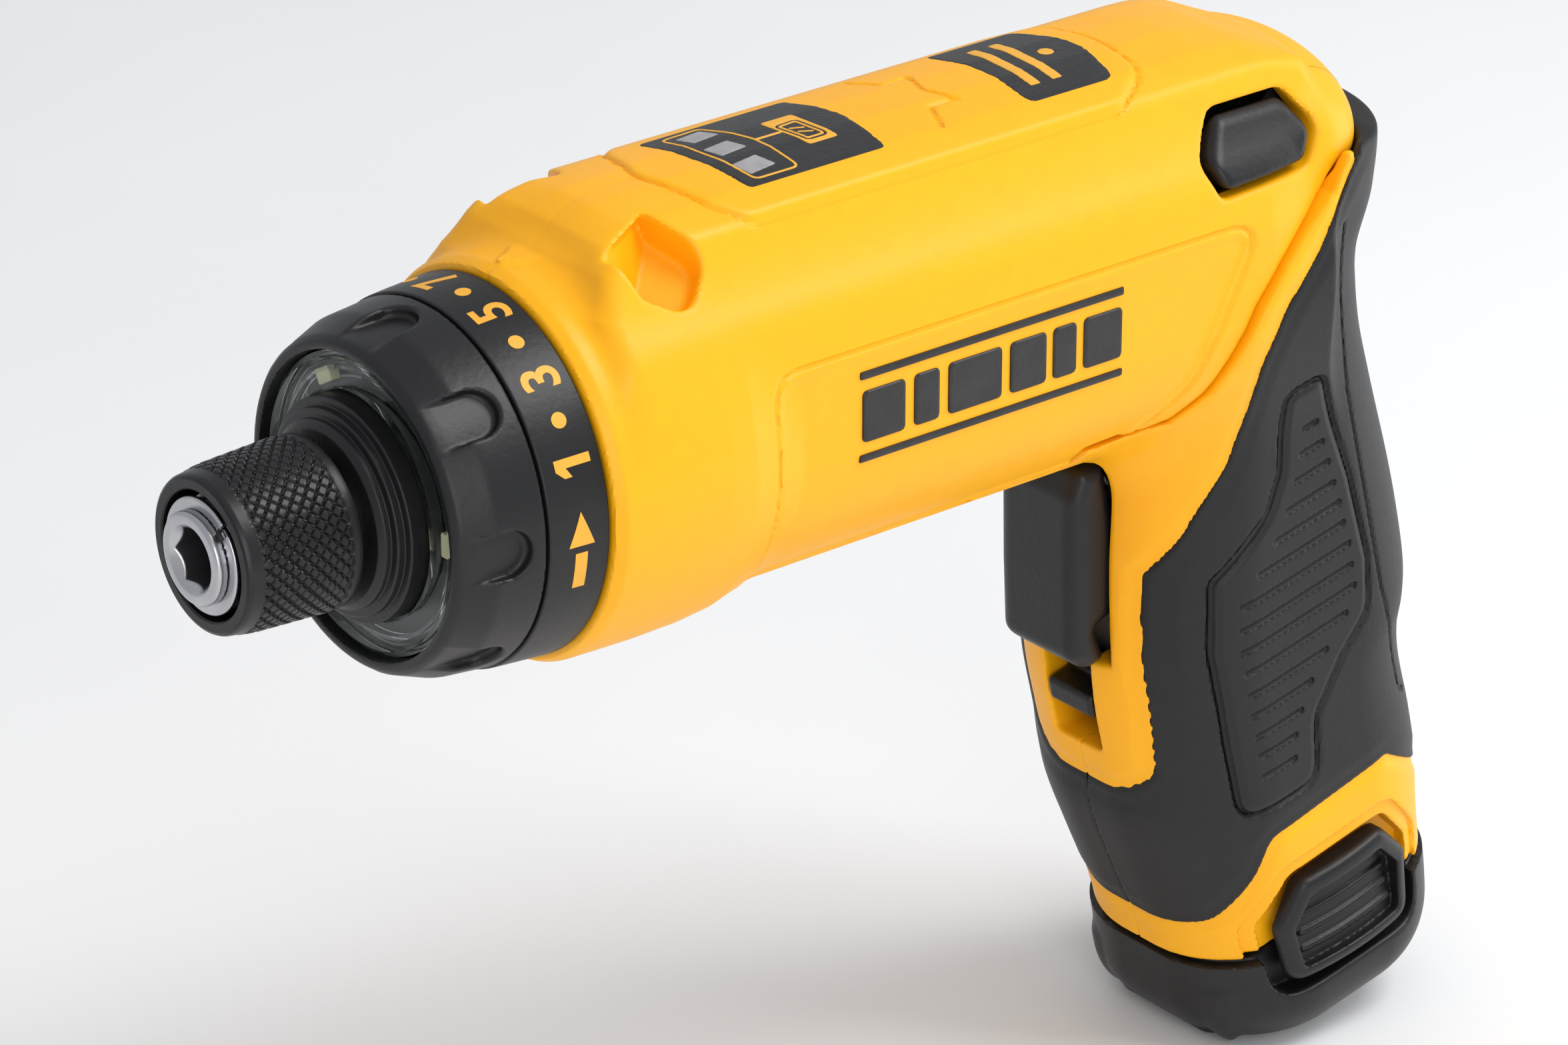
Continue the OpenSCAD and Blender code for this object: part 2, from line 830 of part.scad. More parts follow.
module cells() {
    color("#3f6f9f") in_grip() for (side = [-1, 1])
        translate([stem_x + side * (cell_r + 0.1), 0, cap_bottom + 3.1])
            cylinder(r = cell_r, h = cell_len);
}

// ---------------------------------------------------------------- selection

handle_shell_left();
handle_shell_right();
grip_overmould_left();
grip_overmould_right();
hinge_web();
switch_module();
control_board();
terminal_block();
handle_screws();
trigger();
trigger_spring();
lock_off_slider();
pack_stem();
pack_cap();
cells();
pack_latch_left();
pack_latch_right();
barrel_shell_left();
barrel_shell_right();
barrel_screws();
hinge_pin();
release_button_left();
release_button_right();
lock_pawl_left();
lock_pawl_right();
top_labels();
level_board();
side_badges();
gear_case();
nose_cone();
front_bushing();
lens_ring();
light_board();
collar_grip();
number_ring();
clutch_nut();
clutch_spring();
clutch_plate();
clutch_pins();
ring_gear_clutch();
ring_gear_fixed();
motor_plate();
motor_can();
motor_end_cap();
motor_armature();
motor_shaft();
motor_pinion();
planet_first_a();
planet_first_b();
planet_first_c();
planet_second_a();
planet_second_b();
planet_second_c();
carrier_first();
output_carrier();
spindle();
bit_ball();
chuck_sleeve();
sleeve_spring();
retaining_ring();
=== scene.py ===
import json
import math
import bmesh
import bpy
import numpy as np
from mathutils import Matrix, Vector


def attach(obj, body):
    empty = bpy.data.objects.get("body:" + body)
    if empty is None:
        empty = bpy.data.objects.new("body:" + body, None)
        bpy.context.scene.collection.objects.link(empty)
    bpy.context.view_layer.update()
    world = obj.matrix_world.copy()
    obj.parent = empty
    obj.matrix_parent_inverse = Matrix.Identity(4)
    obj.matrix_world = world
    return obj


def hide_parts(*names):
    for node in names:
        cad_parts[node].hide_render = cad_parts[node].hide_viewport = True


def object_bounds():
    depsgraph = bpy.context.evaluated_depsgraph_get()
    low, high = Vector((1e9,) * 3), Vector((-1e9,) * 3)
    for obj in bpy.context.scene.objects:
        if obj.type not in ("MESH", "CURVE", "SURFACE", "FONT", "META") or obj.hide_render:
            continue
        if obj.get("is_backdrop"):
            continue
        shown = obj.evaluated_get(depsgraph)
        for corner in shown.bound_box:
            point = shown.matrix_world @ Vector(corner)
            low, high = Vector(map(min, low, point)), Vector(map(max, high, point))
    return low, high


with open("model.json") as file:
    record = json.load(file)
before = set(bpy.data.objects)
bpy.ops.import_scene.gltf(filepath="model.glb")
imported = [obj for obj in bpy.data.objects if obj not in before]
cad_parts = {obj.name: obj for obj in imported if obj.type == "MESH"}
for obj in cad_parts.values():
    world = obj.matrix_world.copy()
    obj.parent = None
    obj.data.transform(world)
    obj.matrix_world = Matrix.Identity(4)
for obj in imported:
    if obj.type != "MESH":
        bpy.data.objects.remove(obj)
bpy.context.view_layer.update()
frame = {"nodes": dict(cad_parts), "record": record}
import openvdb
from mathutils import Matrix, Vector

# Every length in the shape functions is in millimetres, in the row frame.
MM = 0.001

# ------------------------------------------------------------ distance kit


def smin(a, b, k):
    """Union of two distances with a fillet about k wide."""
    h = np.clip(0.5 + 0.5 * (b - a) / k, 0, 1)
    return b * (1 - h) + a * h - k * h * (1 - h)


def smax(a, b, k):
    """Intersection of two distances with a rounded edge."""
    return -smin(-a, -b, k)


def outline_distance(u, v, points):
    """Signed distance to a closed outline: negative inside."""
    shape = np.broadcast(u, v).shape
    best = np.full(shape, 1e9)
    inside = np.zeros(shape, bool)
    for i in range(len(points)):
        (ax, ay), (bx, by) = points[i - 1], points[i]
        ex, ey = bx - ax, by - ay
        wx, wy = u - ax, v - ay
        t = np.clip((wx * ex + wy * ey) / (ex * ex + ey * ey), 0, 1)
        best = np.minimum(best, (wx - ex * t) ** 2 + (wy - ey * t) ** 2)
        if ey != 0:
            crossed = ((v >= ay) != (v >= by)) & (u < ax + ex * (v - ay) / ey)
            inside ^= crossed
    return np.where(inside, -1, 1) * np.sqrt(best)


CELL = 0.25
TABLES = {}


def polygon(u, v, points):
    """The same distance, read from a table made once for each outline."""
    if id(points) not in TABLES:
        corners = np.array(points)
        low, high = corners.min(0) - 5, corners.max(0) + 5
        us, vs = (np.arange(low[k], high[k] + CELL, CELL) for k in (0, 1))
        table = outline_distance(us[:, None], vs[None, :], points)
        TABLES[id(points)] = (points, low, table)
    _, low, table = TABLES[id(points)]
    u, v = np.broadcast_arrays(u, v)
    s, t = (u - low[0]) / CELL, (v - low[1]) / CELL
    sc = np.clip(s, 0, table.shape[0] - 1.001)
    tc = np.clip(t, 0, table.shape[1] - 1.001)
    i, j = sc.astype(int), tc.astype(int)
    fs, ft = sc - i, tc - j
    near = (table[i, j] * (1 - ft) + table[i, j + 1] * ft) * (1 - fs)
    near += (table[i + 1, j] * (1 - ft) + table[i + 1, j + 1] * ft) * fs
    return near + CELL * np.sqrt((s - sc) ** 2 + (t - tc) ** 2)


def rounded(corners, radius, steps=6):
    """An outline with its corners rounded. A corner may carry its own radius."""
    out = []
    count = len(corners)
    for i in range(count):
        p = np.array(corners[i][:2], float)
        before = np.array(corners[i - 1][:2], float) - p
        after = np.array(corners[(i + 1) % count][:2], float) - p
        la, lb = np.linalg.norm(before), np.linalg.norm(after)
        before, after = before / la, after / lb
        half = math.acos(max(-1, min(1, float(before @ after)))) / 2
        r = corners[i][2] if len(corners[i]) > 2 else radius
        cut = min(r / max(math.tan(half), 1e-6), la * 0.49, lb * 0.49)
        start, end = p + before * cut, p + after * cut
        for j in range(steps + 1):
            t = j / steps
            q = (1 - t) ** 2 * start + 2 * t * (1 - t) * p + t * t * end
            out.append((float(q[0]), float(q[1])))
    return out


def curve(t, points):
    """Smooth line through (t, value) points, flat beyond its ends."""
    ts = np.array([p[0] for p in points], float)
    vs = np.array([p[1] for p in points], float)
    slope = np.zeros(len(ts))
    slope[1:-1] = (vs[2:] - vs[:-2]) / (ts[2:] - ts[:-2])
    t = np.clip(t, ts[0], ts[-1])
    i = np.clip(np.searchsorted(ts, t, side="right") - 1, 0, len(ts) - 2)
    h = ts[i + 1] - ts[i]
    s = (t - ts[i]) / h
    a, b = 2 * s ** 3 - 3 * s ** 2 + 1, s ** 3 - 2 * s ** 2 + s
    c, d = -2 * s ** 3 + 3 * s ** 2, s ** 3 - s ** 2
    return a * vs[i] + b * h * slope[i] + c * vs[i + 1] + d * h * slope[i + 1]


def box2(u, v, half_u, half_v, r):
    """Distance to a centred rectangle with round corners."""
    qu, qv = np.abs(u) - (half_u - r), np.abs(v) - (half_v - r)
    outside = np.sqrt(np.maximum(qu, 0) ** 2 + np.maximum(qv, 0) ** 2)
    return outside + np.minimum(np.maximum(qu, qv), 0) - r


def radial(y, z):
    """Distance from the spindle axis."""
    return np.sqrt(y * y + z * z)


def stroke(u, v, points):
    """Distance to an open line of segments."""
    best = None
    for (ax, ay), (bx, by) in zip(points, points[1:]):
        ex, ey = bx - ax, by - ay
        t = np.clip(((u - ax) * ex + (v - ay) * ey) / (ex * ex + ey * ey), 0, 1)
        q = np.sqrt((u - ax - ex * t) ** 2 + (v - ay - ey * t) ** 2)
        best = q if best is None else np.minimum(best, q)
    return best


def channel(d, line, width, depth):
    """Carve a rounded groove where a line meets a surface."""
    lip = np.sqrt((line / width) ** 2 + (d / depth) ** 2) - 1
    return smax(d, -lip * min(width, depth), 0.1)


def step(v, width):
    """0 outside an outline, 1 well inside it."""
    h = np.clip(-v / width, 0, 1)
    return h * h * (3 - 2 * h)


OFF = 50


def only(place):
    """Added to a mark's distance, this keeps the mark to the places that hold."""
    return np.where(place, 0, OFF)


LEAN = math.radians(12.5)
GRIP_X, GRIP_Z = -156.0, -55.0


def to_grip(x, z):
    """World X and Z in the handle's own frame: +X forward, +Z up the grip."""
    c, s = math.cos(LEAN), math.sin(LEAN)
    dx, dz = x - GRIP_X, z - GRIP_Z
    return c * dx - s * dz, s * dx + c * dz


# ------------------------------------------------------------ barrel shape

HINGE_X, HINGE_Z = -156.0, 16.0
KNUCKLE_R, KNUCKLE_HALF = 10.5, 19.1
BARREL_R = 22.3
WALL = 2.6
SEAM_GAP = 0.12

CROWN = rounded([(-30, 30.3, 0.1), (3, 30.3, 3), (9, 29.0, 3), (13.5, 27.1, 2.4),
                 (17.2, 18), (17.2, 0), (-30, 0, 0.1)], 3)
LOWER = rounded([(-30, 21, 0.1), (13, 20.2), (19.8, 16.6, 5), (22.3, 9.5, 5), (22.3, -3, 4),
                 (19, -12), (-30, -12, 0.1)], 2)
TOP_PROFILE = [(-46.3, -70), (-46.3, 21), (-48.5, 25.2), (-50.7, 27.6), (-54.4, 29.8),
               (-58.3, 30.5), (-90, 30.6), (-142, 30.5), (-149, 29.1), (-156.4, 26.4),
               (-156.4, -70)]
PLAN = [(-40, -40), (-40, 23), (-144, 23), (-157.5, 18.6), (-157.5, -40)]
SEAM = [(-156, 16), (-153.4, 11.6), (-149.2, 8), (-145.2, 4.2), (-141.4, -0.3),
        (-138.4, -5.4), (-135, -10.6), (-131, -13.9), (-118.5, -14.8)]
BELOW = SEAM + [(-118.5, -150), (-230, -150), (-230, 16)]
BELL = [(-69, -30), (-69, 21), (-66, 22.6), (-62, 23.9), (-58, 24.3), (-52, 24.4), (-43, 24.2),
        (-41.6, 23.5), (-41.5, -30)]


def from_hinge(x, z):
    """Distance from the fold's axis, seen from the side."""
    return np.sqrt((x - HINGE_X) ** 2 + (z - HINGE_Z) ** 2)


def egg(x, y, z, radius, half):
    """An ellipsoid about the hinge axis, as a rough distance."""
    return (np.sqrt((from_hinge(x, z) / radius) ** 2 + (y / half) ** 2) - 1) * radius * 0.9


def barrel_plain(x, y, z):
    """The barrel's skin before any pocket, line or pad is cut in it."""
    side = np.abs(y)
    r = radial(y, z)
    crown = polygon(side, z, CROWN)
    lower = np.minimum(polygon(side, z, LOWER), r - BARREL_R)
    d = smin(crown, lower, 5)
    d = smax(d, polygon(x, z, TOP_PROFILE), 2.5)
    d = smax(d, polygon(x, side, PLAN), 4)
    bell = polygon(x, r, BELL)
    d = smin(d, bell, 2.5)
    d = smax(d, SEAM_GAP - polygon(x, z, BELOW), 0.8)
    return smin(d, egg(x, y, z, KNUCKLE_R, KNUCKLE_HALF), 2)


# ------------------------------------------------------------ handle shape

GRIP_FRONT = [(-60, 19), (-55, 19.3), (-51, 20.2), (-38, 20.5), (-36, 20.6), (-31, 21.3),
              (-24, 22.7), (-16, 24.2), (-11, 24.4), (-5, 24.5), (3, 24.6), (12, 23.7),
              (23, 21.8), (33, 19.4), (45, 18)]
GRIP_BACK = [(-56, -19), (-45, -20.5), (-39, -21), (-33, -21.4), (-27, -22), (-18, -22),
             (-11, -21.6), (-7, -21.7), (-3.3, -22.4), (0, -23.8), (4, -24.6), (12, -24.7),
             (20, -24.3), (33, -23.1), (41, -22.6), (48.6, -23.2), (52, -24), (60, -27)]
GRIP_HALF = [(-45, 18.8), (-20, 19.1), (20, 19.2), (45, 19.6)]
FOOT = -38.5
CRADLE_R, CRADLE_HALF = 13.8, 19.3
# Where the handle's top follows the round underside of the barrel
SADDLE = (-152, -118.6)


def grip_body(x, y, z):
    """The handle's skin before openings, down to the foot."""
    gx, gz = to_grip(x, z)
    front, back = curve(gz, GRIP_FRONT), curve(gz, GRIP_BACK)
    half = curve(gz, GRIP_HALF)
    mid, reach = (front + back) / 2, (front - back) / 2
    d = box2(gx - mid, y, reach, half, np.minimum(16, reach - 1))
    roof = smax(radial(y, z) - BARREL_R, np.maximum(x - SADDLE[1], SADDLE[0] - x), 0.6)
    d = smin(d, roof, 7)
    cradle = smax(egg(x, y, z, CRADLE_R, CRADLE_HALF), x - HINGE_X - 7, 2)
    d = smin(d, cradle, 6)
    d = smax(d, SEAM_GAP + polygon(x, z, BELOW), 0.8)
    d = smax(d, z - HINGE_Z - 0.4, 0.8)
    d = smax(d, 0.3 - egg(x, y, z, KNUCKLE_R, KNUCKLE_HALF), 0.6)
    return d


# --------------------------------------------------- details cut in the barrel

CROWN_SIDE = 20
PANEL_SUNK, COVER_RAISED = 0.4, 0.3
COVER = rounded([(-63.2, -9), (-63.2, 1, 4), (-65.6, 9.6, 3), (-69, 13.4, 3), (-126, 13.4, 4),
                 (-132.5, 9.5, 6), (-134, -9)], 3)
PANEL = rounded([(-66.1, 10.7, 4), (-141.5, 10.7, 3), (-131.5, -8.6, 6), (-121, -17.5, 4),
                 (-66.3, -18.6, 3)], 4)
BUTTON = rounded([(-134.4, 18.6, 2), (-138.6, 24, 2.6), (-150.4, 24, 2.8), (-153.5, 19.4, 2.6),
                  (-150.8, 14.9, 2.4), (-136.2, 14.3, 2)], 2.4)
BUTTON_FLOOR = 12.2
SHOULDER = rounded([(-58, -16.6, 0.5), (-49.8, -12.9, 0.7), (-52.2, -6.8, 1.5),
                    (-57.5, -3.4, 3.2), (-61.6, -8.6, 3.5)], 2)
CHEVRON = rounded([(-42.7, 0), (-47.4, 3.3), (-47.4, -3.3)], 0.3)
ZIGZAG = [(-101.5, 9), (-103.5, 4.2), (-107.4, 4.6), (-105.6, -1)]


def shoulder_pocket(x, side, z):
    """The dimple on each shoulder: two slopes that meet in a crease."""
    along = 0.66 * side - 0.75 * z
    deep = 0.75 * side + 0.66 * z
    fold = x + 60.5 - 0.75 * (along + 16.4)
    floor = 21.5 + np.where(fold > 0, 0.55, -0.35) * fold
    return smax(polygon(x, along, SHOULDER), floor - deep, 0.5)


def barrel_outside(x, y, z):
    """The barrel's skin with its raised cover, sunk panels, pockets and parting line."""
    side = np.abs(y)
    d = barrel_plain(x, y, z)
    cover = polygon(x, side, COVER) + only(z > CROWN_SIDE)
    d = d - COVER_RAISED * step(cover, 0.9)
    d = channel(d, cover, 0.3, 0.35)
    panel = polygon(x, z, PANEL) + only(side > 9)
    d = d + PANEL_SUNK * step(panel, 1.6)
    d = channel(d, panel - 0.1, 0.4, 0.4)
    d = smax(d, -shoulder_pocket(x, side, z), 0.7)
    d = smax(d, -smax(polygon(x, z, BUTTON), BUTTON_FLOOR - side, 0.4), 0.7)
    mark = polygon(x, y, CHEVRON) + only(z > CROWN_SIDE)
    rise = 0.6 * step(mark, 0.35) * np.clip((x + 48) / 4, 0, 1)
    d = d - rise
    flash = stroke(x, side, ZIGZAG) + only(z > CROWN_SIDE)
    d = channel(d, flash, 0.34, 0.4)
    parting = np.maximum(np.abs(y), np.maximum(-63 - x, -z))
    under = np.maximum(np.abs(y), z)
    return channel(d, np.minimum(parting, under), 0.13, 0.25)


# Rooms inside the barrel for the gear case's mouth, the hinge hub and the web that turns on it
MOUTH_R = 19.6
HUB_ROOM_R, HUB_ROOM_HALF = 8.5, 12.3
WEB_ROOM_R, WEB_ROOM_HALF = 34.4, 8.3
FOLD_ROOM = [(HINGE_X, 25.2), (-110, 25.2), (-110, -60), (-250, -60), (-230, -28),
             (HINGE_X, HINGE_Z)]


def barrel_shell(x, y, z):
    """The barrel with its wall, its open front and the room for the fold."""
    side = np.abs(y)
    d = barrel_outside(x, y, z)
    r = radial(y, z)
    inner = barrel_plain(x, y, z) + WALL
    inner = np.maximum(inner, 1.5 - shoulder_pocket(x, side, z))
    mouth = np.maximum(r - MOUTH_R, np.abs(x + 56) - 14.2)
    d = smax(d, -np.minimum(inner, mouth), 0.3)
    rho = from_hinge(x, z)
    roof = np.where(np.maximum(x - HINGE_X, z - HINGE_Z) > 0, barrel_plain(x, y, z) + 1.2, -OFF)
    hub = np.maximum(np.maximum(rho - HUB_ROOM_R, side - HUB_ROOM_HALF), roof)
    sweep = np.maximum(polygon(x, z, FOLD_ROOM), np.where(z > 8, roof, -OFF))
    web = np.maximum(np.maximum(rho - WEB_ROOM_R, sweep), side - WEB_ROOM_HALF)
    return np.maximum(d, -np.minimum(hub, web))


# --------------------------------------------------- details cut in the handle

RUBBER = rounded([(-60, 91, 1), (-15, 66.4, 4), (-8, 60, 8), (-0.8, 54.9, 8), (3.3, 49, 8),
                  (5.5, 42.3), (8.2, 36, 8), (12.4, 30.9, 8), (15, 27.3, 6), (19, 22.8, 3),
                  (20.2, 17, 5), (21.3, 9.6, 6), (21.7, 2, 6), (21.9, -6.5, 3),
                  (24.6, -10.9, 3), (60, -12, 1), (60, -33.4, 1), (20.8, -32.8, 3),
                  (17.9, -31.6, 4), (13.4, -24.9, 4), (10.9, -19.7, 3), (-9.4, -18.4, 2.2),
                  (-14, -22.5, 3), (-19, -27, 2), (-60, -27, 1)], 4)
PAD = rounded([(-0.4, 42, 2), (1.4, 31.4, 8), (4.3, 26.6, 4), (13.4, 20.4, 2), (15.2, 10.5, 5),
               (15.2, -2.4, 5), (14.8, -15, 3), (2.6, -15, 3.5), (1.4, -5.8, 5),
               (-4.2, 0.4, 4), (-9.6, 4.6, 5), (-10.7, 12, 5), (-9.6, 25, 6), (-6.5, 42, 2)], 4)
PAD_SIDE = 12
# Grooves of the pad: front end, height, rear end
RIBS = [(-3.1, 35.5, -5.0), (-2.2, 32.1, -5.6), (-0.7, 28.8, -6.1), (1.3, 25.4, -6.5),
        (3.7, 22.2, -7.0), (7.0, 19.0, -7.2), (10.4, 15.7, -7.6), (10.9, 12.5, -7.5),
        (11.3, 9.4, -7.5), (11.2, 6.2, -5.5), (11.3, 2.9, -1.5), (11.3, -0.2, 1.6),
        (11.2, -3.4, 3.9), (11.2, -6.4, 5.4), (11.1, -9.6, 6.1)]
WINDOW = rounded([(8, 9.3, 0.5), (60, 9.3, 0.5), (60, 38.2, 1), (8, 38.2, 1)], 1)
# The slider's slot: bottom, top, half width
SLOT = (-4.7, 9.6, 4.4)
FLAP = [(-13.5, 60), (-11.5, 36), (-12.4, 6), (-14.8, -12), (-16.5, -13.5)]
LATCH = rounded([(-11.6, -33.4, 2), (-7.4, -27, 2), (8.6, -27.4, 2), (13.2, -33.6, 2),
                 (12.2, -44.6, 3), (-10.6, -44.6, 3)], 2)


def inside_rubber(x, z):
    """Negative where rubber covers the handle, seen from the side."""
    gx, gz = to_grip(x, z)
    return polygon(gx, gz, RUBBER)


def grip_openings(x, y, z, d):
    """Cut the trigger's window and the slider's slot."""
    gx, gz = to_grip(x, z)
    side = np.abs(y)
    window = np.maximum(polygon(gx, gz, WINDOW), side - 7.6)
    low, high, half = SLOT
    slot = box2(gz - (low + high) / 2, side, (high - low) / 2, half, 1)
    slot = np.maximum(slot, 12 - gx)
    d = smax(d, -window, 0.7)
    return smax(d, -slot, 0.5)


def latch_gap(x, y, z):
    """Room for the pack's latches in the handle's lower edge."""
    gx, gz = to_grip(x, z)
    return np.maximum(polygon(gx, gz, LATCH) - 0.35, 15 - np.abs(y))


# Where the hinge web is clamped between the handle's halves
WEB_FOOT = [(-156.1, 16), (-138, -9.4), (-135.9, -16.2), (-135.9, -22.6), (-146.1, -22.6)]


def grip_cavity(x, y, z):
    """Rooms for the pack's stem, the switch and the web's foot."""
    gx, gz = to_grip(x, z)
    stem = np.maximum(box2(gx + 0.45, y, 19.35, 10.4, 3.4), gz - 14.5)
    room = np.maximum(box2(gx + 2, y, 17, 11.4, 4), np.abs(gz - 24) - 10)
    foot = polygon(x, z, WEB_FOOT)
    return np.minimum(np.minimum(stem, room), np.maximum(foot, np.abs(y) - 8.05))


# Thickness of the rubber
SKIN = 0.9


def handle_shell(x, y, z):
    """The yellow handle, sunk where the rubber lies on it."""
    gx, gz = to_grip(x, z)
    plain = grip_body(x, y, z)
    rubber = inside_rubber(x, z)
    d = plain + SKIN * step(rubber + 0.15, 0.3) * 1.02
    d = d + 0.3 * np.clip(1.6 - np.abs(rubber), 0, 1)
    d = smax(d, FOOT - gz, 0.6)
    lug = polygon(gx, gz, LATCH) - 2.6 + only(np.abs(y) > 10)
    d = d + 0.6 * step(lug, 0.4)
    d = grip_openings(x, y, z, d)
    d = smax(d, -latch_gap(x, y, z), 0.4)
    d = channel(d, np.abs(y), 0.13, 0.25)
    return smax(d, -grip_cavity(x, y, z), 0.1)


def rubber_skin(x, y, z):
    """The rubber over the handle, with its pad, its grooves and the flap's line."""
    gx, gz = to_grip(x, z)
    plain = grip_body(x, y, z)
    rubber = inside_rubber(x, z)
    side = np.abs(y)
    d = plain - 0.25 * step(rubber + 0.8, 2.2)
    pad = polygon(gx, gz, PAD) + only(side > PAD_SIDE)
    d = d - 0.3 * step(pad + 0.6, 0.8)
    d = channel(d, pad, 0.5, 0.55)
    for high_x, level, low_x in RIBS:
        rib = stroke(gx, gz, [(low_x, level), (high_x, level)]) + only(side > PAD_SIDE)
        d = channel(d, rib, 0.5, 0.55)
    d = channel(d, stroke(gx, gz, FLAP) + only(side > 9), 0.3, 0.35)
    d = smax(d, rubber + 0.05, 0.5)
    d = smax(d, -(plain + SKIN), 0.1)
    d = grip_openings(x, y, z, d)
    d = smax(d, -latch_gap(x, y, z), 0.4)
    return channel(d, np.abs(y) + only(gx > 0), 0.12, 0.3)


def overmould(x, y, z):
    """The rubber without the two pads, which are pieces of their own."""
    gx, gz = to_grip(x, z)
    pad = np.maximum(polygon(gx, gz, PAD), PAD_SIDE - 1 - np.abs(y))
    return smax(rubber_skin(x, y, z), -pad, 0.1)


def textured_pad(sign):
    """The ribbed pad of one side: 1 for the left, -1 for the right."""
    def shape(x, y, z):
        gx, gz = to_grip(x, z)
        pad = np.maximum(polygon(gx, gz, PAD), PAD_SIDE - 1 - y * sign)
        return smax(rubber_skin(x, y, z), pad + 0.02, 0.1)
    return shape


# ------------------------------------------------------------ finishes


def finish_material(name, base, rough, grain=0.25, scale=900.0, speckle=0.06, metal=0.0,
                    extra=None):
    """A moulded or machined surface: fine grain in the bump, slight change in the colour."""
    material = bpy.data.materials.new(name)
    material.use_nodes = True
    nodes, links = material.node_tree.nodes, material.node_tree.links
    shader = nodes["Principled BSDF"]
    shader.inputs["Roughness"].default_value = rough
    shader.inputs["Metallic"].default_value = metal
    for key, value in (extra or {}).items():
        shader.inputs[key].default_value = value
    place = nodes.new("ShaderNodeTexCoord")
    fine = nodes.new("ShaderNodeTexNoise")
    fine.inputs["Scale"].default_value = scale
    fine.inputs["Detail"].default_value = 3
    links.new(place.outputs["Object"], fine.inputs["Vector"])
    bump = nodes.new("ShaderNodeBump")
    bump.inputs["Strength"].default_value = grain
    bump.inputs["Distance"].default_value = 0.00012
    links.new(fine.outputs["Fac"], bump.inputs["Height"])
    links.new(bump.outputs["Normal"], shader.inputs["Normal"])
    broad = nodes.new("ShaderNodeTexNoise")
    broad.inputs["Scale"].default_value = scale * 0.35
    broad.inputs["Detail"].default_value = 4
    links.new(place.outputs["Object"], broad.inputs["Vector"])
    ramp = nodes.new("ShaderNodeValToRGB")
    ramp.color_ramp.elements[0].position = 0.3
    ramp.color_ramp.elements[1].position = 0.7
    for element, gain in zip(ramp.color_ramp.elements, (1 - speckle, 1 + speckle)):
        element.color = [min(1, c * gain) for c in base] + [1]
    links.new(broad.outputs["Fac"], ramp.inputs["Fac"])
    links.new(ramp.outputs["Color"], shader.inputs["Base Color"])
    return material


FINISHES = {
    "yellow_shell": finish_material("yellow_shell", (1.0, 0.45, 0.003), 0.42, 0.22, 1100, 0.02,
                                    extra={"Specular IOR Level": 0.35}),
    "black_rubber": finish_material("black_rubber", (0.008, 0.008, 0.009), 0.5, 0.35, 1300, 0.12,
                                    extra={"Specular IOR Level": 0.4}),
    "black_plastic": finish_material("black_plastic", (0.008, 0.008, 0.009), 0.4, 0.3, 1200, 0.1,
                                     extra={"Specular IOR Level": 0.4}),
    "black_steel": finish_material("black_steel", (0.014, 0.014, 0.015), 0.36, 0.2, 900, 0.2,
                                   0.35),
    "bright_steel": finish_material("bright_steel", (0.50, 0.50, 0.52), 0.28, 0.2, 700, 0.08, 1),
    "lens": finish_material("lens", (0.97, 0.98, 0.98), 0.02, 0.01, 300, 0.01,
                            extra={"Transmission Weight": 1.0, "IOR": 1.2}),
    "board": finish_material("board", (0.004, 0.02, 0.012), 0.35, 0.1, 500, 0.15),
    "brass": finish_material("brass", (0.55, 0.36, 0.13), 0.35, 0.2, 800, 0.08, 1),
    "label": finish_material("label", (0.012, 0.012, 0.013), 0.42, 0.6, 1500, 0.25),
    "cell_wrap": finish_material("cell_wrap", (0.05, 0.13, 0.32), 0.3, 0.05, 400, 0.05),
    "number_print": finish_material("number_print", (0.86, 0.42, 0.035), 0.5, 0.2, 900, 0.04),
    "window_print": finish_material("window_print", (0.33, 0.32, 0.33), 0.5, 0.3, 1500, 0.12),
    "badge_print": finish_material("badge_print", (0.016, 0.014, 0.014), 0.45, 0.6, 700, 0.3),
    "led": finish_material("led", (0.75, 0.74, 0.45), 0.3, 0.05, 600, 0.05),
}

for row in frame["record"]["subparts"]:
    node = frame["nodes"][row["node"]]
    node.data.materials.clear()
    node.data.materials.append(FINISHES[row["material_slot"]])


# ------------------------------------------------------------ piece makers


SIDES = (("left", 1), ("right", -1))
BLOCK = 8
PULLS, SMOOTHED = 4, 2
TURNED_STEPS = 160


def settle(obj, body, slot, finish=None, replaces=()):
    """Give a piece its finish and its body, and hide the parts it replaces."""
    obj.data.materials.append(FINISHES[finish or slot])
    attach(obj, body)
    if replaces:
        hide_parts(*replaces)
    return obj


def mesh_piece(name, points, faces, body, slot, finish=None, replaces=(), smooth=40):
    """A piece from points in millimetres and faces, shaded smooth up to an angle."""
    mesh = bpy.data.meshes.new(name)
    mesh.from_pydata((np.asarray(points, float) * MM).tolist(), [], faces)
    mesh.update()
    mesh.validate()
    mesh.shade_smooth()
    mesh.set_sharp_from_angle(angle=math.radians(smooth))
    obj = bpy.data.objects.new(name, mesh)
    bpy.context.scene.collection.objects.link(obj)
    return settle(obj, body, slot, finish, replaces)


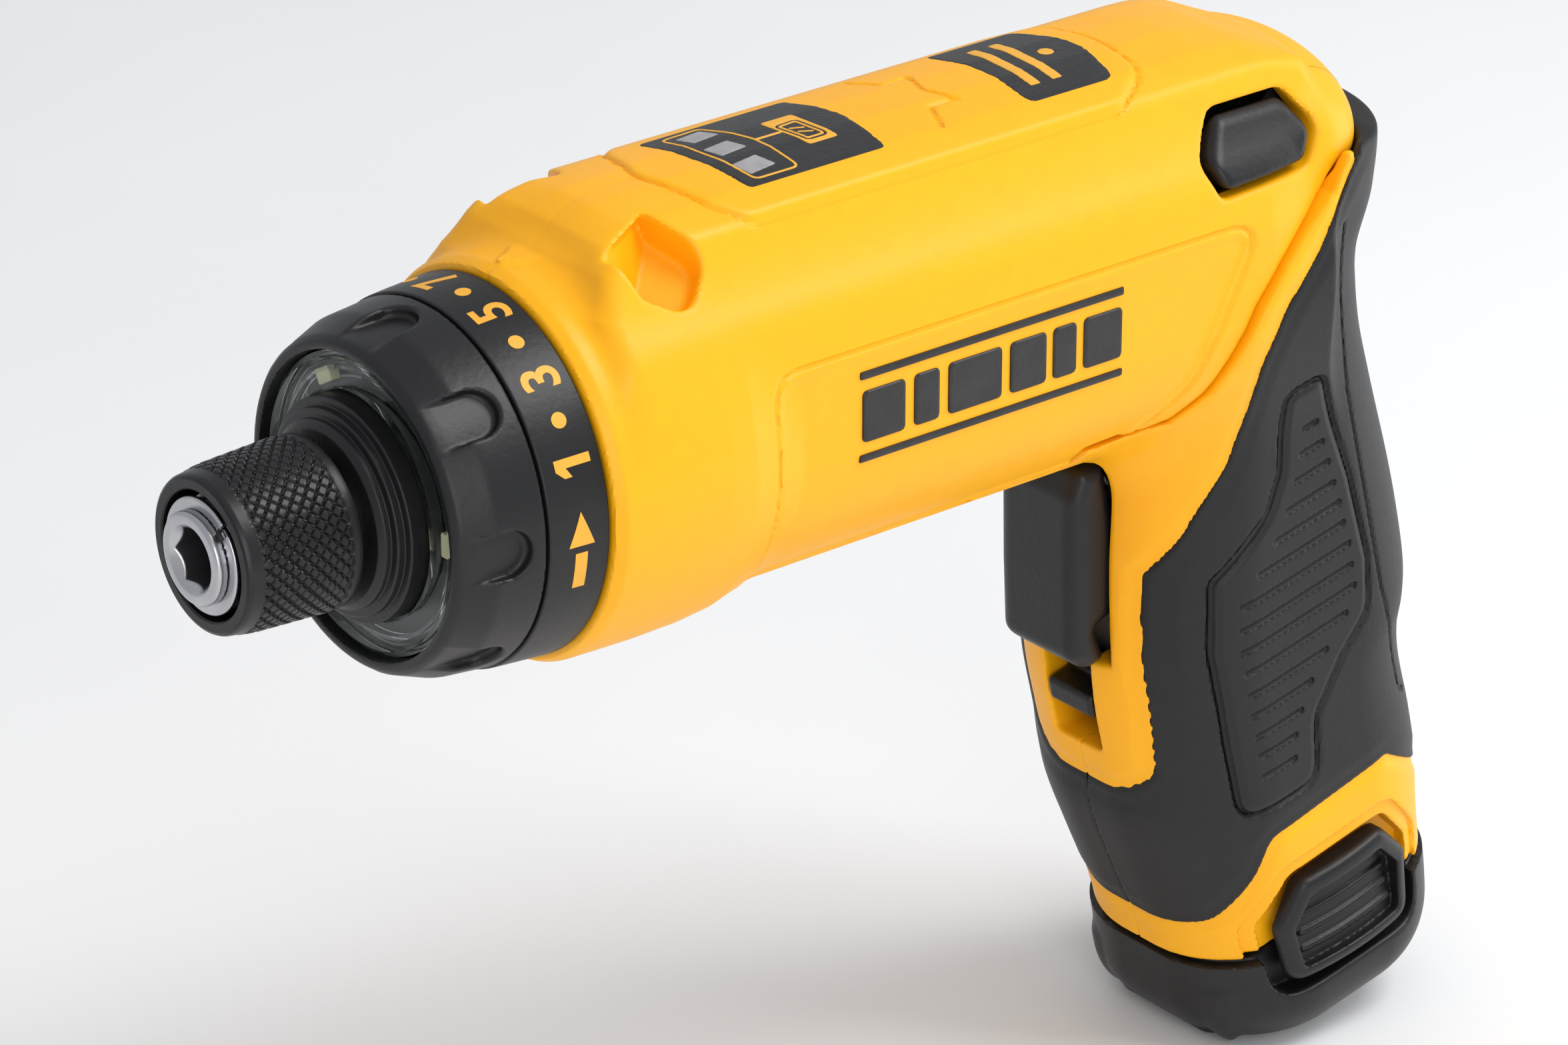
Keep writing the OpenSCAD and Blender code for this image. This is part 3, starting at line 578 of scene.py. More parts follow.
def carve(name, shape, low, high, voxel, body, slot, finish=None, replaces=()):
    """A piece from a distance function, meshed inside a box and pulled onto the surface."""
    start = np.array(low, float) - 2 * voxel
    count = [int(math.ceil((q - p) / voxel)) + 5 for p, q in zip(low, high)]
    blocks = [-(-n // BLOCK) for n in count]
    field = np.full([n * BLOCK for n in blocks], 9.0, np.float32)
    corner = np.stack(np.meshgrid(*[np.arange(n) for n in blocks], indexing="ij"), -1)
    corner = corner.reshape(-1, 3) * BLOCK
    middle = start + (corner + (BLOCK - 1) / 2) * voxel
    rough = shape(*middle.T)
    close = np.abs(rough) < BLOCK * voxel * 0.9 + 1.2
    for i, j, k in corner[rough < 0]:
        field[i:i + BLOCK, j:j + BLOCK, k:k + BLOCK] = -9
    cell = np.stack(np.meshgrid(*[np.arange(BLOCK)] * 3, indexing="ij"), -1).reshape(-1, 3)
    for some in np.array_split(corner[close], max(1, close.sum() // 600)):
        index = (some[:, None, :] + cell[None]).reshape(-1, 3)
        value = shape(*(start + index * voxel).T)
        field[index[:, 0], index[:, 1], index[:, 2]] = value
    grid = openvdb.FloatGrid()
    grid.copyFromArray(field)
    points, quads = grid.convertToQuads(isovalue=0)
    points = points.astype(float) * voxel + start
    h = voxel * 0.12
    ends = np.concatenate([quads[:, [0, 1, 2, 3]].ravel(), quads[:, [1, 2, 3, 0]].ravel()])
    others = np.concatenate([quads[:, [1, 2, 3, 0]].ravel(), quads[:, [0, 1, 2, 3]].ravel()])
    around = np.bincount(ends, minlength=len(points))[:, None]
    for turn in range(PULLS):
        x, y, z = points.T
        value = shape(x, y, z)
        slope = np.stack([shape(x + h, y, z), shape(x, y + h, z), shape(x, y, z + h)], 1)
        slope = (slope - value[:, None]) / h
        size = np.maximum((slope ** 2).sum(1), 0.1)
        move = -slope * (value / size)[:, None]
        length = np.linalg.norm(move, axis=1)
        move *= np.minimum(1, 0.4 * voxel / np.maximum(length, 1e-9))[:, None]
        points = points + move
        if turn < SMOOTHED:
            mean = np.stack([np.bincount(ends, points[others, k], len(points))
                             for k in range(3)], 1) / around
            points = points * 0.4 + mean * 0.6
    corners = points[quads]
    volume = np.einsum("ij,ij->i", corners[:, 0],
                       np.cross(corners[:, 1], corners[:, 2])
                       + np.cross(corners[:, 2], corners[:, 3])).sum()
    if volume < 0:
        quads = quads[:, ::-1]
    mesh = bpy.data.meshes.new(name)
    mesh.vertices.add(len(points))
    mesh.vertices.foreach_set("co", (points * MM).astype(np.float32).ravel())
    mesh.loops.add(quads.size)
    mesh.loops.foreach_set("vertex_index", quads.astype(np.int32).ravel())
    mesh.polygons.add(len(quads))
    mesh.polygons.foreach_set("loop_start", np.arange(0, quads.size, 4, dtype=np.int32))
    mesh.update(calc_edges=True)
    mesh.validate()
    mesh.shade_smooth()
    mesh.set_sharp_from_angle(angle=math.radians(35))
    obj = bpy.data.objects.new(name, mesh)
    bpy.context.scene.collection.objects.link(obj)
    return settle(obj, body, slot, finish, replaces)


def turned(name, profile, body, slot, replaces=()):
    """A closed ring turned about the spindle axis, from (distance, radius) points."""
    points, faces = [], []
    count = len(profile)
    for i in range(TURNED_STEPS):
        a = 2 * math.pi * i / TURNED_STEPS
        points += [(-s, r * math.sin(a), r * math.cos(a)) for s, r in profile]
    for i in range(TURNED_STEPS):
        for j in range(count):
            a, b = i * count + j, i * count + (j + 1) % count
            c = (i + 1) % TURNED_STEPS * count
            faces.append((a, b, c + (j + 1) % count, c + j))
    area = sum(p[0] * q[1] - q[0] * p[1] for p, q in zip(profile, profile[1:] + profile[:1]))
    if area < 0:
        faces = [f[::-1] for f in faces]
    return mesh_piece(name, points, faces, body, slot, replaces=replaces)


def on_side(low, high, sign):
    """A box given for the left side, or its mirror image for the right."""
    if sign > 0:
        return low, high
    return (low[0], -high[1], low[2]), (high[0], -low[1], high[2])


carve("barrel", barrel_shell, (-167, -25, -25), (-41, 25, 31), 0.42, "barrel", "yellow_shell",
      replaces=("barrel_shell_left", "barrel_shell_right"))
carve("handle", handle_shell, (-192, -23, -98), (-117, 23, 18), 0.36, "handle",
      "yellow_shell", replaces=("handle_shell_left", "handle_shell_right"))
carve("overmould", overmould, (-192, -23, -98), (-117, 23, 18), 0.36, "handle",
      "black_rubber", replaces=("grip_overmould_left", "grip_overmould_right"))
for hand, sign in SIDES:
    low, high = on_side((-174, 11, -74), (-130, 23, -8), sign)
    carve("pad_" + hand, textured_pad(sign), low, high, 0.22, "handle", "black_rubber")

# ------------------------------------------------------------ top labels

LABEL_FRONT = rounded([(-69.8, -8.6, 1), (-70.9, 0, 3), (-72.2, 9.6, 1), (-92.6, 9.6, 1),
                       (-93.4, 0, 6), (-91.8, -8.6, 1)], 1)
LABEL_REAR = rounded([(-114.4, -9.6, 1), (-115.3, 0, 8), (-114.6, 9.6, 1.5), (-128, 9.6, 2),
                      (-130.4, 0, 8), (-128, -9.6, 2)], 1.5)
BARS_LEVEL = [rounded([(-73.6, c - 1.5), (-77.6, c - 2.1), (-78.4, c + 0.8), (-74.2, c + 1.4)],
                      0.2) for c in (-4.6, 0.6, 5.9)]
FRAME_LEVEL = rounded([(-72.4, -7.3), (-78.2, -7.6), (-80.4, 0, 5), (-80.4, 8.4), (-74, 8.4),
                       (-73, 0, 4)], 1)
FRAME_ICON = rounded([(-83.8, -3.2), (-88.6, -3.2), (-89.2, 5), (-84.8, 5)], 0.5)
CELL_ICON = rounded([(-85, -1), (-87.6, -1.2), (-88, 3.6), (-85.6, 3.6)], 0.3)
BARS_REAR = [[(x, -6.6), (x - 1.6, -6.6), (x - 0.6, 6.6), (x + 1, 6.6)] for x in (-118.4, -121.8)]
DISC_REAR = [(-125.4 + 1.1 * math.cos(a / 4 * math.pi), 1.1 * math.sin(a / 4 * math.pi))
             for a in range(8)]


LABEL_LIFT, PRINT_LIFT = 0.06, 0.13


def top_plate(outline, lift):
    """A thin plate that follows the crown, its top lift above the skin."""
    def shape(x, y, z):
        skin = barrel_plain(x, y, z) - COVER_RAISED
        plate = np.abs(skin - lift + 0.25) - 0.25
        return smax(smax(plate, outline(x, y), 0.15), CROWN_SIDE - z, 0.1)
    return shape


def any_of(outlines):
    """Distance to the nearest of several outlines, seen from above."""
    return lambda x, y: np.minimum.reduce([polygon(x, y, o) for o in outlines])


def level_print(x, y):
    """The front label's frame and battery icon."""
    lines = np.minimum(np.abs(polygon(x, y, FRAME_LEVEL)), np.abs(polygon(x, y, CELL_ICON)))
    icon = np.maximum(polygon(x, y, FRAME_ICON), 0.5 - polygon(x, y, CELL_ICON))
    icon = np.minimum(icon, stroke(x, y, [(-80.4, 0.4), (-84, 0.4)]) - 0.25)
    slits = np.minimum(stroke(x, y, [(-85.7, 0.2), (-87.2, 0.9)]),
                       stroke(x, y, [(-85.9, 1.6), (-87.3, 2.4)]))
    return np.minimum(np.minimum(lines - 0.2, icon), slits - 0.18)


carve("label_front", top_plate(any_of([LABEL_FRONT]), LABEL_LIFT), (-95, -11, 26),
      (-68, 11, 32), 0.28, "barrel", "label", replaces=("top_labels",))
carve("label_rear", top_plate(any_of([LABEL_REAR]), LABEL_LIFT), (-132, -11, 26),
      (-112, 11, 32), 0.28, "barrel", "label")
carve("label_print", top_plate(level_print, PRINT_LIFT), (-90, -9, 27), (-71, 10, 32), 0.14,
      "barrel", "label", "number_print")
carve("label_windows", top_plate(any_of(BARS_LEVEL), PRINT_LIFT), (-80, -8, 27),
      (-72, 9, 32), 0.16, "barrel", "label", "window_print")
carve("label_rear_print", top_plate(any_of(BARS_REAR + [DISC_REAR]), PRINT_LIFT),
      (-128, -9, 26), (-115, 9, 32), 0.2, "barrel", "label", "number_print")

# Plain bars and blocks on each side panel
BADGE = [[(-79, 7.1), (-79, 8.1), (-119.6, 8.1), (-119.6, 7.1)],
         [(-79, -3.4), (-79, -2.4), (-119.6, -2.4), (-119.6, -3.4)]]
for start, width in ((-79.4, 6.4), (-87.2, 3.8), (-92.4, 8.2), (-101.9, 5.6), (-108.6, 3.6),
                     (-113.4, 6)):
    BADGE.append(rounded([(start, 5.6), (start - width, 5.6), (start - width, -0.9),
                          (start, -0.9)], 0.7))


def badge_shape(sign):
    """The bars and blocks of one side, raised from the sunk panel."""
    def shape(x, y, z):
        skin = barrel_plain(x, y, z) + PANEL_SUNK
        flat = np.minimum.reduce([polygon(x, z, o) for o in BADGE])
        plate = smax(np.abs(skin + 0.1) - 0.4, flat, 0.25)
        return np.maximum(plate, 12 - y * sign)
    return shape


for hand, sign in SIDES:
    low, high = on_side((-121, 18, -5), (-78, 24, 10), sign)
    carve("badge_" + hand, badge_shape(sign), low, high, 0.22, "barrel", "label",
          "badge_print", ("side_badges",) if hand == "left" else ())

# ------------------------------------------------------------ buttons

BUTTON_FACE = rounded([(-135.6, 18.6, 2), (-139.2, 23, 2.2), (-149.8, 23, 2.4),
                       (-152.3, 19.4, 2.2), (-150.2, 15.9, 2), (-136.9, 15.3, 2)], 2)


def button_shape(sign):
    """A release button, its face following the barrel's side."""
    def shape(x, y, z):
        face = barrel_plain(x, y, z) - 0.45
        d = smax(polygon(x, z, BUTTON_FACE), face, 1.4)
        return smax(d, 14.6 - y * sign, 0.2)
    return shape


for hand, sign in SIDES:
    low, high = on_side((-154, 13, 14), (-134, 22, 25), sign)
    carve("release_" + hand, button_shape(sign), low, high, 0.25, "release_" + hand,
          "black_plastic", replaces=("release_button_" + hand,))

SCREW_X, SCREW_Z = -56.5, 23.4


def screw_head(x, y, z):
    """A cross-recessed head seen in the right shoulder pocket."""
    u, v = x - SCREW_X, z - SCREW_Z
    d = smax(np.sqrt(u ** 2 + v ** 2) - 2.2, np.abs(y + 8.1) - 1.1, 0.3)
    cross = np.minimum(np.maximum(np.abs(u) - 0.3, np.abs(v) - 1.3),
                       np.maximum(np.abs(v) - 0.3, np.abs(u) - 1.3))
    return smax(d, -np.maximum(cross, y + 8.6), 0.1)


carve("shoulder_screw", screw_head, (-59, -10, 20), (-54, -6, 26), 0.15, "barrel",
      "bright_steel", "black_steel")

# ------------------------------------------------------------ trigger and slider

TRIGGER = rounded([(22.8, 10.2, 1), (26, 9.5, 2.4), (28.3, 12.4, 2.4), (26.6, 22.4, 12),
                   (24.3, 34, 3), (22.2, 37.3, 1.6), (18, 37.3, 1), (18, 15.8, 1),
                   (23.6, 15, 0.6)], 1)
TRIGGER_HALF, ROOM_HALF = 7.35, 5.8
TRIGGER_ROOM = [(8, 12), (25, 11.6), (26.5, 13), (25, 22), (22.4, 33.4), (21, 35.8), (8, 35.8)]


def trigger_shape(x, y, z):
    """The trigger as an open shell with a rounded face."""
    gx, gz = to_grip(x, z)
    side = np.abs(y)
    d = smax(polygon(gx, gz, TRIGGER), side - TRIGGER_HALF, 2.6)
    return smax(d, -np.maximum(polygon(gx, gz, TRIGGER_ROOM), side - ROOM_HALF), 0.2)


SLIDER_Z, SLIDER_HALF = 2.1, 4.1


def slider_shape(x, y, z):
    """The lock-off slider: a nub on a plate that runs behind the slot."""
    gx, gz = to_grip(x, z)
    side = np.abs(y) - SLIDER_HALF
    nub = smax(box2(gx - 22.4, gz - SLIDER_Z, 2.4, 1.7, 0.8), side, 0.8)
    plate = smax(box2(gx - 20.3, gz - SLIDER_Z, 0.6, 4.4, 0.4), side, 0.3)
    return smin(nub, plate, 0.6)


carve("trigger_cap", trigger_shape, (-138, -8, -50), (-121, 8, -16), 0.32, "trigger",
      "black_plastic", replaces=("trigger",))
carve("slider", slider_shape, (-138, -5, -64), (-129, 5, -50), 0.22, "lock_off",
      "black_plastic", replaces=("lock_off_slider",))

# ------------------------------------------------------------ battery pack

CAP_TOP, CAP_FLOOR = -38.8, -54.4
CAP_FRONT = [(-55, 19.4), (-51, 20.2), (-47, 20.6), (-38, 20.6)]
CAP_BACK = [(-55, -18.5), (-51, -19.4), (-45, -20.4), (-38, -20.9)]


def cap_shape(x, y, z):
    """The pack's cap: a rib at each front corner, a neck, latch pockets, room for the stem."""
    gx, gz = to_grip(x, z)
    side = np.abs(y)
    front, back = curve(gz, CAP_FRONT), curve(gz, CAP_BACK)
    d = box2(gx - (front + back) / 2, y, (front - back) / 2, 18.8, 14.6)
    rib = smax(stroke(gx, side, [(15.8, 10.1), (16.2, 10.3)]) - 3.3, gz + 42.8, 1.5)
    d = smin(d, rib, 0.7)
    d = smax(d, CAP_FLOOR - gz, 9)
    d = smax(d, gz - CAP_TOP, 0.8)
    neck = box2(gx + 0.3, y, 20.1, 18, 14) + 0.6
    d = np.where(gz > CAP_TOP - 0.45, smax(neck, gz - CAP_TOP, 0.5), d)
    pocket = smax(polygon(gx, gz, LATCH) - 0.8, 14.7 - side, 0.4)
    d = smax(d, -pocket, 0.8)
    stem = np.maximum(box2(gx + 0.45, y, 19, 10.1, 3), -51.5 - gz)
    return smax(d, -np.maximum(stem, d + 1.4), 0.1)


LATCH_FACE = rounded([(-10.6, -34, 2), (-6.6, -28.2, 2), (7.8, -28.6, 2), (12, -34.4, 2),
                      (11, -43.8, 3), (-9.6, -43.8, 3)], 2)
LATCH_DISH = rounded([(-8.4, -34.8, 1), (-5.4, -30.6, 1), (6.6, -31, 1), (9.6, -35.2, 1),
                      (8.8, -41.8, 1), (-7.6, -41.8, 1)], 1)


def latch_shape(sign):
    """A side latch with a ribbed dish for the thumb."""
    def shape(x, y, z):
        gx, gz = to_grip(x, z)
        out = y * sign
        face = 20.0 - 0.012 * gx ** 2 + 0.03 * (gz + 36)
        d = smax(polygon(gx, gz, LATCH_FACE), out - face, 1.6)
        dish = polygon(gx, gz, LATCH_DISH)
        floor = face - 1.5 - 0.11 * (gz + 42)
        d = smax(d, -smax(dish, floor - out, 0.3), 0.5)
        ribs = np.minimum.reduce([stroke(gx, gz, [(-7 + 0.2 * k, level), (8 - 0.2 * k, level)])
                                  for k, level in enumerate((-39.6, -37.2, -34.8, -32.6))])
        ridge = np.sqrt(ribs ** 2 + ((out - floor) * 0.8) ** 2) - 0.5
        d = smin(d, np.maximum(ridge, dish), 0.3)
        return smax(d, 16.7 - out, 0.2)
    return shape


carve("pack_cap_skin", cap_shape, (-191, -20.5, -115), (-138, 20.5, -84), 0.36, "pack",
      "black_plastic", replaces=("pack_cap",))
for hand, sign in SIDES:
    low, high = on_side((-180, 16, -101), (-146, 21, -78), sign)
    carve("latch_" + hand, latch_shape(sign), low, high, 0.25, "latch_" + hand,
          "black_plastic", replaces=("pack_latch_" + hand,))

# ------------------------------------------------------------ collar

COLLAR = rounded([(22.2, 18.35, 0.2), (22.2, 19.3, 0.4), (22.9, 20, 0.7), (27, 21.5, 4),
                  (33.1, 22.1, 0.3), (33.1, 19.6, 0.2), (24.6, 19.6, 0.1), (24.6, 18.35, 0.1)],
                 0.3)


def collar_shape(x, y, z):
    """The collar's grip with a round scoop at every eighth of a turn."""
    s, r = -x, radial(y, z)
    d = polygon(s, r, COLLAR)
    turn = np.arctan2(y, z) - math.radians(0.4)
    pitch = math.pi / 4
    across = (np.mod(turn + pitch / 2, pitch) - pitch / 2) * r
    mouth = stroke(s, across, [(15, 0), (28.4, 0)]) - 2.9
    scoop = smax(mouth, 20.1 + 0.05 * (s - 22) - r, 0.6)
    return smax(d, -scoop, 0.5)


carve("collar", collar_shape, (-33.5, -22.6, -22.6), (-21.8, 22.6, 22.6), 0.3, "collar",
      "black_plastic", replaces=("collar_grip",))
# The number ring: its front edge, length, radius at that edge, and how much it widens
RING_FROM, RING_LENGTH, RING_R, RING_FLARE = 33.3, 8, 22.35, 0.6
turned("collar_ring", rounded([(33.3, 19.7, 0.2), (33.3, 22.35, 0.3), (41.3, 22.95, 0.3),
                               (41.3, 19.7, 0.2)], 0.3), "collar", "black_plastic",
       replaces=("number_ring",))


def wrap(points, turn, lift):
    """Lay flat points (across, along) in millimetres on the number ring."""
    out = []
    for across, along in points:
        s = 37.5 - along
        r = RING_R + RING_FLARE * (s - RING_FROM) / RING_LENGTH + lift
        a = math.radians(turn) - across / 22.7
        out.append((-s, r * math.sin(a), r * math.cos(a)))
    return out


def print_on_ring(name, outline, turn):
    """A filled outline, finely divided so that it follows the ring."""
    work = bmesh.new()
    for loop in outline:
        verts = [work.verts.new((u, v, 0)) for u, v in loop]
        work.faces.new(verts)
    bmesh.ops.triangulate(work, faces=work.faces[:])
    bmesh.ops.subdivide_edges(work, edges=work.edges[:], cuts=3, use_grid_fill=True)
    bmesh.ops.triangulate(work, faces=work.faces[:])
    flat = [(v.co.x, v.co.y) for v in work.verts]
    faces = [tuple(v.index for v in f.verts) for f in work.faces]
    work.free()
    thick_print(name, flat, faces, turn)


def thick_print(name, flat, faces, turn):
    """A print with a little thickness: its top, its underside and the walls between."""
    count = len(flat)
    points = wrap(flat, turn, 0.05) + wrap(flat, turn, -0.12)
    edges = dict.fromkeys(pair for f in faces for pair in zip(f, f[1:] + f[:1]))
    sides = [(b, a, a + count, b + count) for a, b in edges if (b, a) not in edges]
    under = [tuple(i + count for i in reversed(f)) for f in faces]
    mesh_piece(name, points, list(faces) + under + sides, "collar", "black_plastic",
               "number_print", smooth=30)


def numeral(text, turn):
    """A number in the default font, centred and laid on the ring."""
    curve_data = bpy.data.curves.new("numeral", "FONT")
    curve_data.body = text
    curve_data.size = 6.6
    curve_data.offset = 0.14
    curve_data.align_x = "CENTER"
    curve_data.align_y = "CENTER"
    holder = bpy.data.objects.new("numeral", curve_data)
    bpy.context.scene.collection.objects.link(holder)
    bpy.context.view_layer.update()
    mesh = holder.to_mesh()
    work = bmesh.new()
    work.from_mesh(mesh)
    holder.to_mesh_clear()
    bmesh.ops.remove_doubles(work, verts=work.verts[:], dist=1e-4)
    bmesh.ops.subdivide_edges(work, edges=[e for e in work.edges if e.calc_length() > 0.9],
                              cuts=2)
    bmesh.ops.triangulate(work, faces=work.faces[:])
    flat = [(v.co.x, v.co.y) for v in work.verts]
    middle = (max(p[0] for p in flat) + min(p[0] for p in flat)) / 2
    level = (max(p[1] for p in flat) + min(p[1] for p in flat)) / 2
    flat = [(u - middle, v - level) for u, v in flat]
    faces = []
    for f in work.faces:
        index = tuple(v.index for v in f.verts)
        faces.append(index if f.normal.z > 0 else index[::-1])
    work.free()
    bpy.data.objects.remove(holder)
    bpy.data.curves.remove(curve_data)
    thick_print("numeral_" + text, flat, faces, turn)


# Angles round the ring in degrees: the first numeral's place, and numeral to dot
NUMERAL_FROM, NUMERAL_STEP = 68.5, 13.15
NUMERALS = ("1", "3", "5", "7", "9", "11", "13", "15")
# The first numeral, drawn as a bar and its flag
FLAG_ONE = [[(-0.15, -2.35), (0.95, -2.35), (0.95, 2.35), (-0.15, 2.35)],
            [(-1.3, 0.35), (-0.15, 1), (-0.15, 2.35), (-0.35, 2.35), (-1.3, 1.35)]]
DOT_R, DOT_CORNERS = 0.95, 24
DOT = [(DOT_R * math.cos(a * math.pi / 12), DOT_R * math.sin(a * math.pi / 12))
       for a in range(DOT_CORNERS)]
for place, text in enumerate(NUMERALS):
    if text == "1":
        print_on_ring("numeral_1", FLAG_ONE, NUMERAL_FROM)
    else:
        numeral(text, NUMERAL_FROM - 2 * NUMERAL_STEP * place)
    if place < len(NUMERALS) - 1:
        print_on_ring("dot_%d" % place, [DOT], NUMERAL_FROM - NUMERAL_STEP * (2 * place + 1))
print_on_ring("bit_icon", [[(-4.6, -0.8), (0, -0.8), (0, 0.8), (-4.6, 0.8)],
                           [(0.9, -1.7), (5, 0), (0.9, 1.7)]], 95)

# ------------------------------------------------------------ nose, lens and lamp board

turned("nose", rounded([(18.2, 6.1, 0.1), (18.2, 10.4, 0.4), (18.8, 11.2, 0.4), (19.6, 11.2, 0.2),
                        (19.6, 12.3, 0.3), (20.7, 12.3, 0.2), (20.7, 13.4, 0.3), (24.5, 13.4, 0.2),
                        (24.5, 6.1, 0.1)], 0.3), "barrel", "black_plastic",
       replaces=("nose_cone",))
turned("lens", rounded([(22.9, 13.7, 0.2), (22.9, 17.3, 0.3), (23.5, 18, 0.3), (25.9, 18, 0.1),
                        (25.9, 16.9, 0.1), (24.4, 16.9, 0.2), (24.4, 13.7, 0.1)], 0.2),
       "barrel", "lens", replaces=("lens_ring",))
turned("lens_step", rounded([(24.5, 15.7, 0.1), (24.5, 16.2, 0.1), (25.8, 16.2, 0.1),
                             (25.8, 15.7, 0.1)], 0.1), "barrel", "lens")


def board_shape(x, y, z):
    """The lamp board, a flat ring behind the lens."""
    return smax(np.abs(-x - 26.6) - 0.6, np.abs(radial(y, z) - 15.5) - 2.4, 0.15)


def along_board(points, radius):
    """Prisms and lines on the board, placed by angle from the top."""
    def shape(x, y, z):
        turn, r = np.degrees(np.arctan2(y, z)), radial(y, z)
        d = None
        for a, b, ra, rb in points:
            flat = stroke(turn * 0.27, r, [(a * 0.27, ra), (b * 0.27, rb)]) - radius
            d = flat if d is None else np.minimum(d, flat)
        return np.maximum(d, np.abs(-x - 25.95) - 0.08)
    return shape


LAMPS_AT = (90, 210, 330)


def chip_shape(x, y, z):
    """Three lamps on the board, in degrees from the top."""
    d = None
    for turn in LAMPS_AT:
        a = math.radians(turn)
        u, v = y * math.sin(a) + z * math.cos(a), y * math.cos(a) - z * math.sin(a)
        one = smax(box2(u - 15.2, v, 0.9, 1.5, 0.25), np.abs(-x - 25.3) - 0.7, 0.15)
        d = one if d is None else np.minimum(d, one)
    return d


carve("lamp_board", board_shape, (-27.4, -18, -18), (-25.8, 18, 18), 0.2, "barrel", "board",
      replaces=("light_board",))
carve("lamp_tracks", along_board([(-40, 20, 17, 17), (30, 62, 16.6, 16.6), (-30, -8, 14.6, 14.6),
                                  (0, 16, 14.9, 15.6), (24, 50, 14.4, 14.4),
                                  (-62, -46, 15, 16.6)], 0.16),
      (-26.2, -18, 5), (-25.8, 18, 18), 0.1, "barrel", "board", "window_print")
carve("lamps", chip_shape, (-26.1, -17, -17), (-24.5, 17, 17), 0.14, "barrel", "board", "led")

# ------------------------------------------------------------ chuck

SLEEVE_FROM, SLEEVE_TO = 2.1, 15.9
KNURL_FROM, KNURL_TO = 3.4, 15.2
KNURL_DEPTH = 0.42


def sleeve_points():
    """The sleeve as rings of points, with a diamond pattern pressed into its outside."""
    rings, around = ((84, 432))
    a = np.arange(around) * 2 * math.pi / around
    rows = []
    for i in range(rings + 1):
        s = SLEEVE_FROM + (SLEEVE_TO - SLEEVE_FROM) * i / rings
        base = 9.45 + 0.4 * min(1, (s - SLEEVE_FROM) / 3.3) + 0.5 * max(0, (s - 5.4) / 10.6)
        fade = np.clip(min(s - KNURL_FROM, KNURL_TO - s) / 0.5, 0, 1)
        p = np.cos(36 * a + s * 3.4) * 0.5 + np.cos(36 * a - s * 3.4) * 0.5
        one, two = np.abs(np.sin(18 * a + s * 1.9)), np.abs(np.sin(18 * a - s * 1.9))
        dip = np.minimum(np.minimum(one, two) * 2.2, 1) - 0.75 + 0.05 * p
        radii = base + KNURL_DEPTH * fade * dip
        rows.append([(-s, r * math.sin(t), r * math.cos(t)) for t, r in zip(a, radii)])
    rims = [(16.3, 10.3), (16.45, 10), (16.45, 7.15), (16, 7.0), (10.85, 5.72), (8.6, 5.72),
            (8.6, 7.7), (1.7, 7.7), (1.5, 7.9), (1.5, 8.9), (1.7, 9.25)]
    for s, r in rims:
        rows.append([(-s, r * math.sin(t), r * math.cos(t)) for t in a])
    points = [p for row in rows for p in row]
    faces = []
    for i in range(len(rows)):
        n = (i + 1) % len(rows)
        for j in range(around):
            k = (j + 1) % around
            faces.append((n * around + j, n * around + k, i * around + k, i * around + j))
    return points, faces


points, faces = sleeve_points()
mesh_piece("sleeve", points, faces, "sleeve", "black_steel", replaces=("chuck_sleeve",),
           smooth=28)


def spindle_shape(x, y, z):
    """The spindle with its hexagonal socket, ring groove and ball hole."""
    r = radial(y, z)
    d = smax(smax(r - 5.55, x, 0.6), -51.7 - x, 0.2)
    hexagon = np.maximum.reduce([np.abs(y * math.cos(a) + z * math.sin(a))
                                 for a in (math.radians(30), math.radians(90),
                                           math.radians(150))]) - 3.225
    hexagon = smin(hexagon, r - 3.35 - 0.9 * np.maximum(x + 0.9, -9), 0.15)
    socket = smax(hexagon, -14 - x, 0.4)
    d = smax(d, -socket, 0.12)
    groove = np.maximum(5.1 - r, np.abs(x + 1.8) - 0.45)
    d = smax(d, -groove, 0.05)
    return smax(d, -np.maximum(np.sqrt((x + 11.5) ** 2 + y ** 2) - 1.55, 1 - z), 0.05)


def clip_shape(x, y, z):
    """Split wire ring in the spindle's groove."""
    r = radial(y, z)
    d = box2(r - 6.05, x + 1.8, 0.9, 0.38, 0.3)
    gap = np.maximum(np.abs(z - y) - 0.9, -(y + z))
    return smax(d, -gap, 0.2)


carve("spindle_nose", spindle_shape, (-52, -6, -6), (0.1, 6, 6), 0.2, "spindle",
      "bright_steel", replaces=("spindle",))
carve("clip", clip_shape, (-2.4, -7.1, -7.1), (-1.2, 7.1, 7.1), 0.12, "spindle",
      "bright_steel", replaces=("retaining_ring",))

# ------------------------------------------------------------ stage

AZIMUTH, ELEVATION = math.radians(140.9), math.radians(24.9)
AIM = Vector((-66.4, 22.9, -6.6)) * MM
DISTANCE = 760 * MM
FOCAL = 152.14


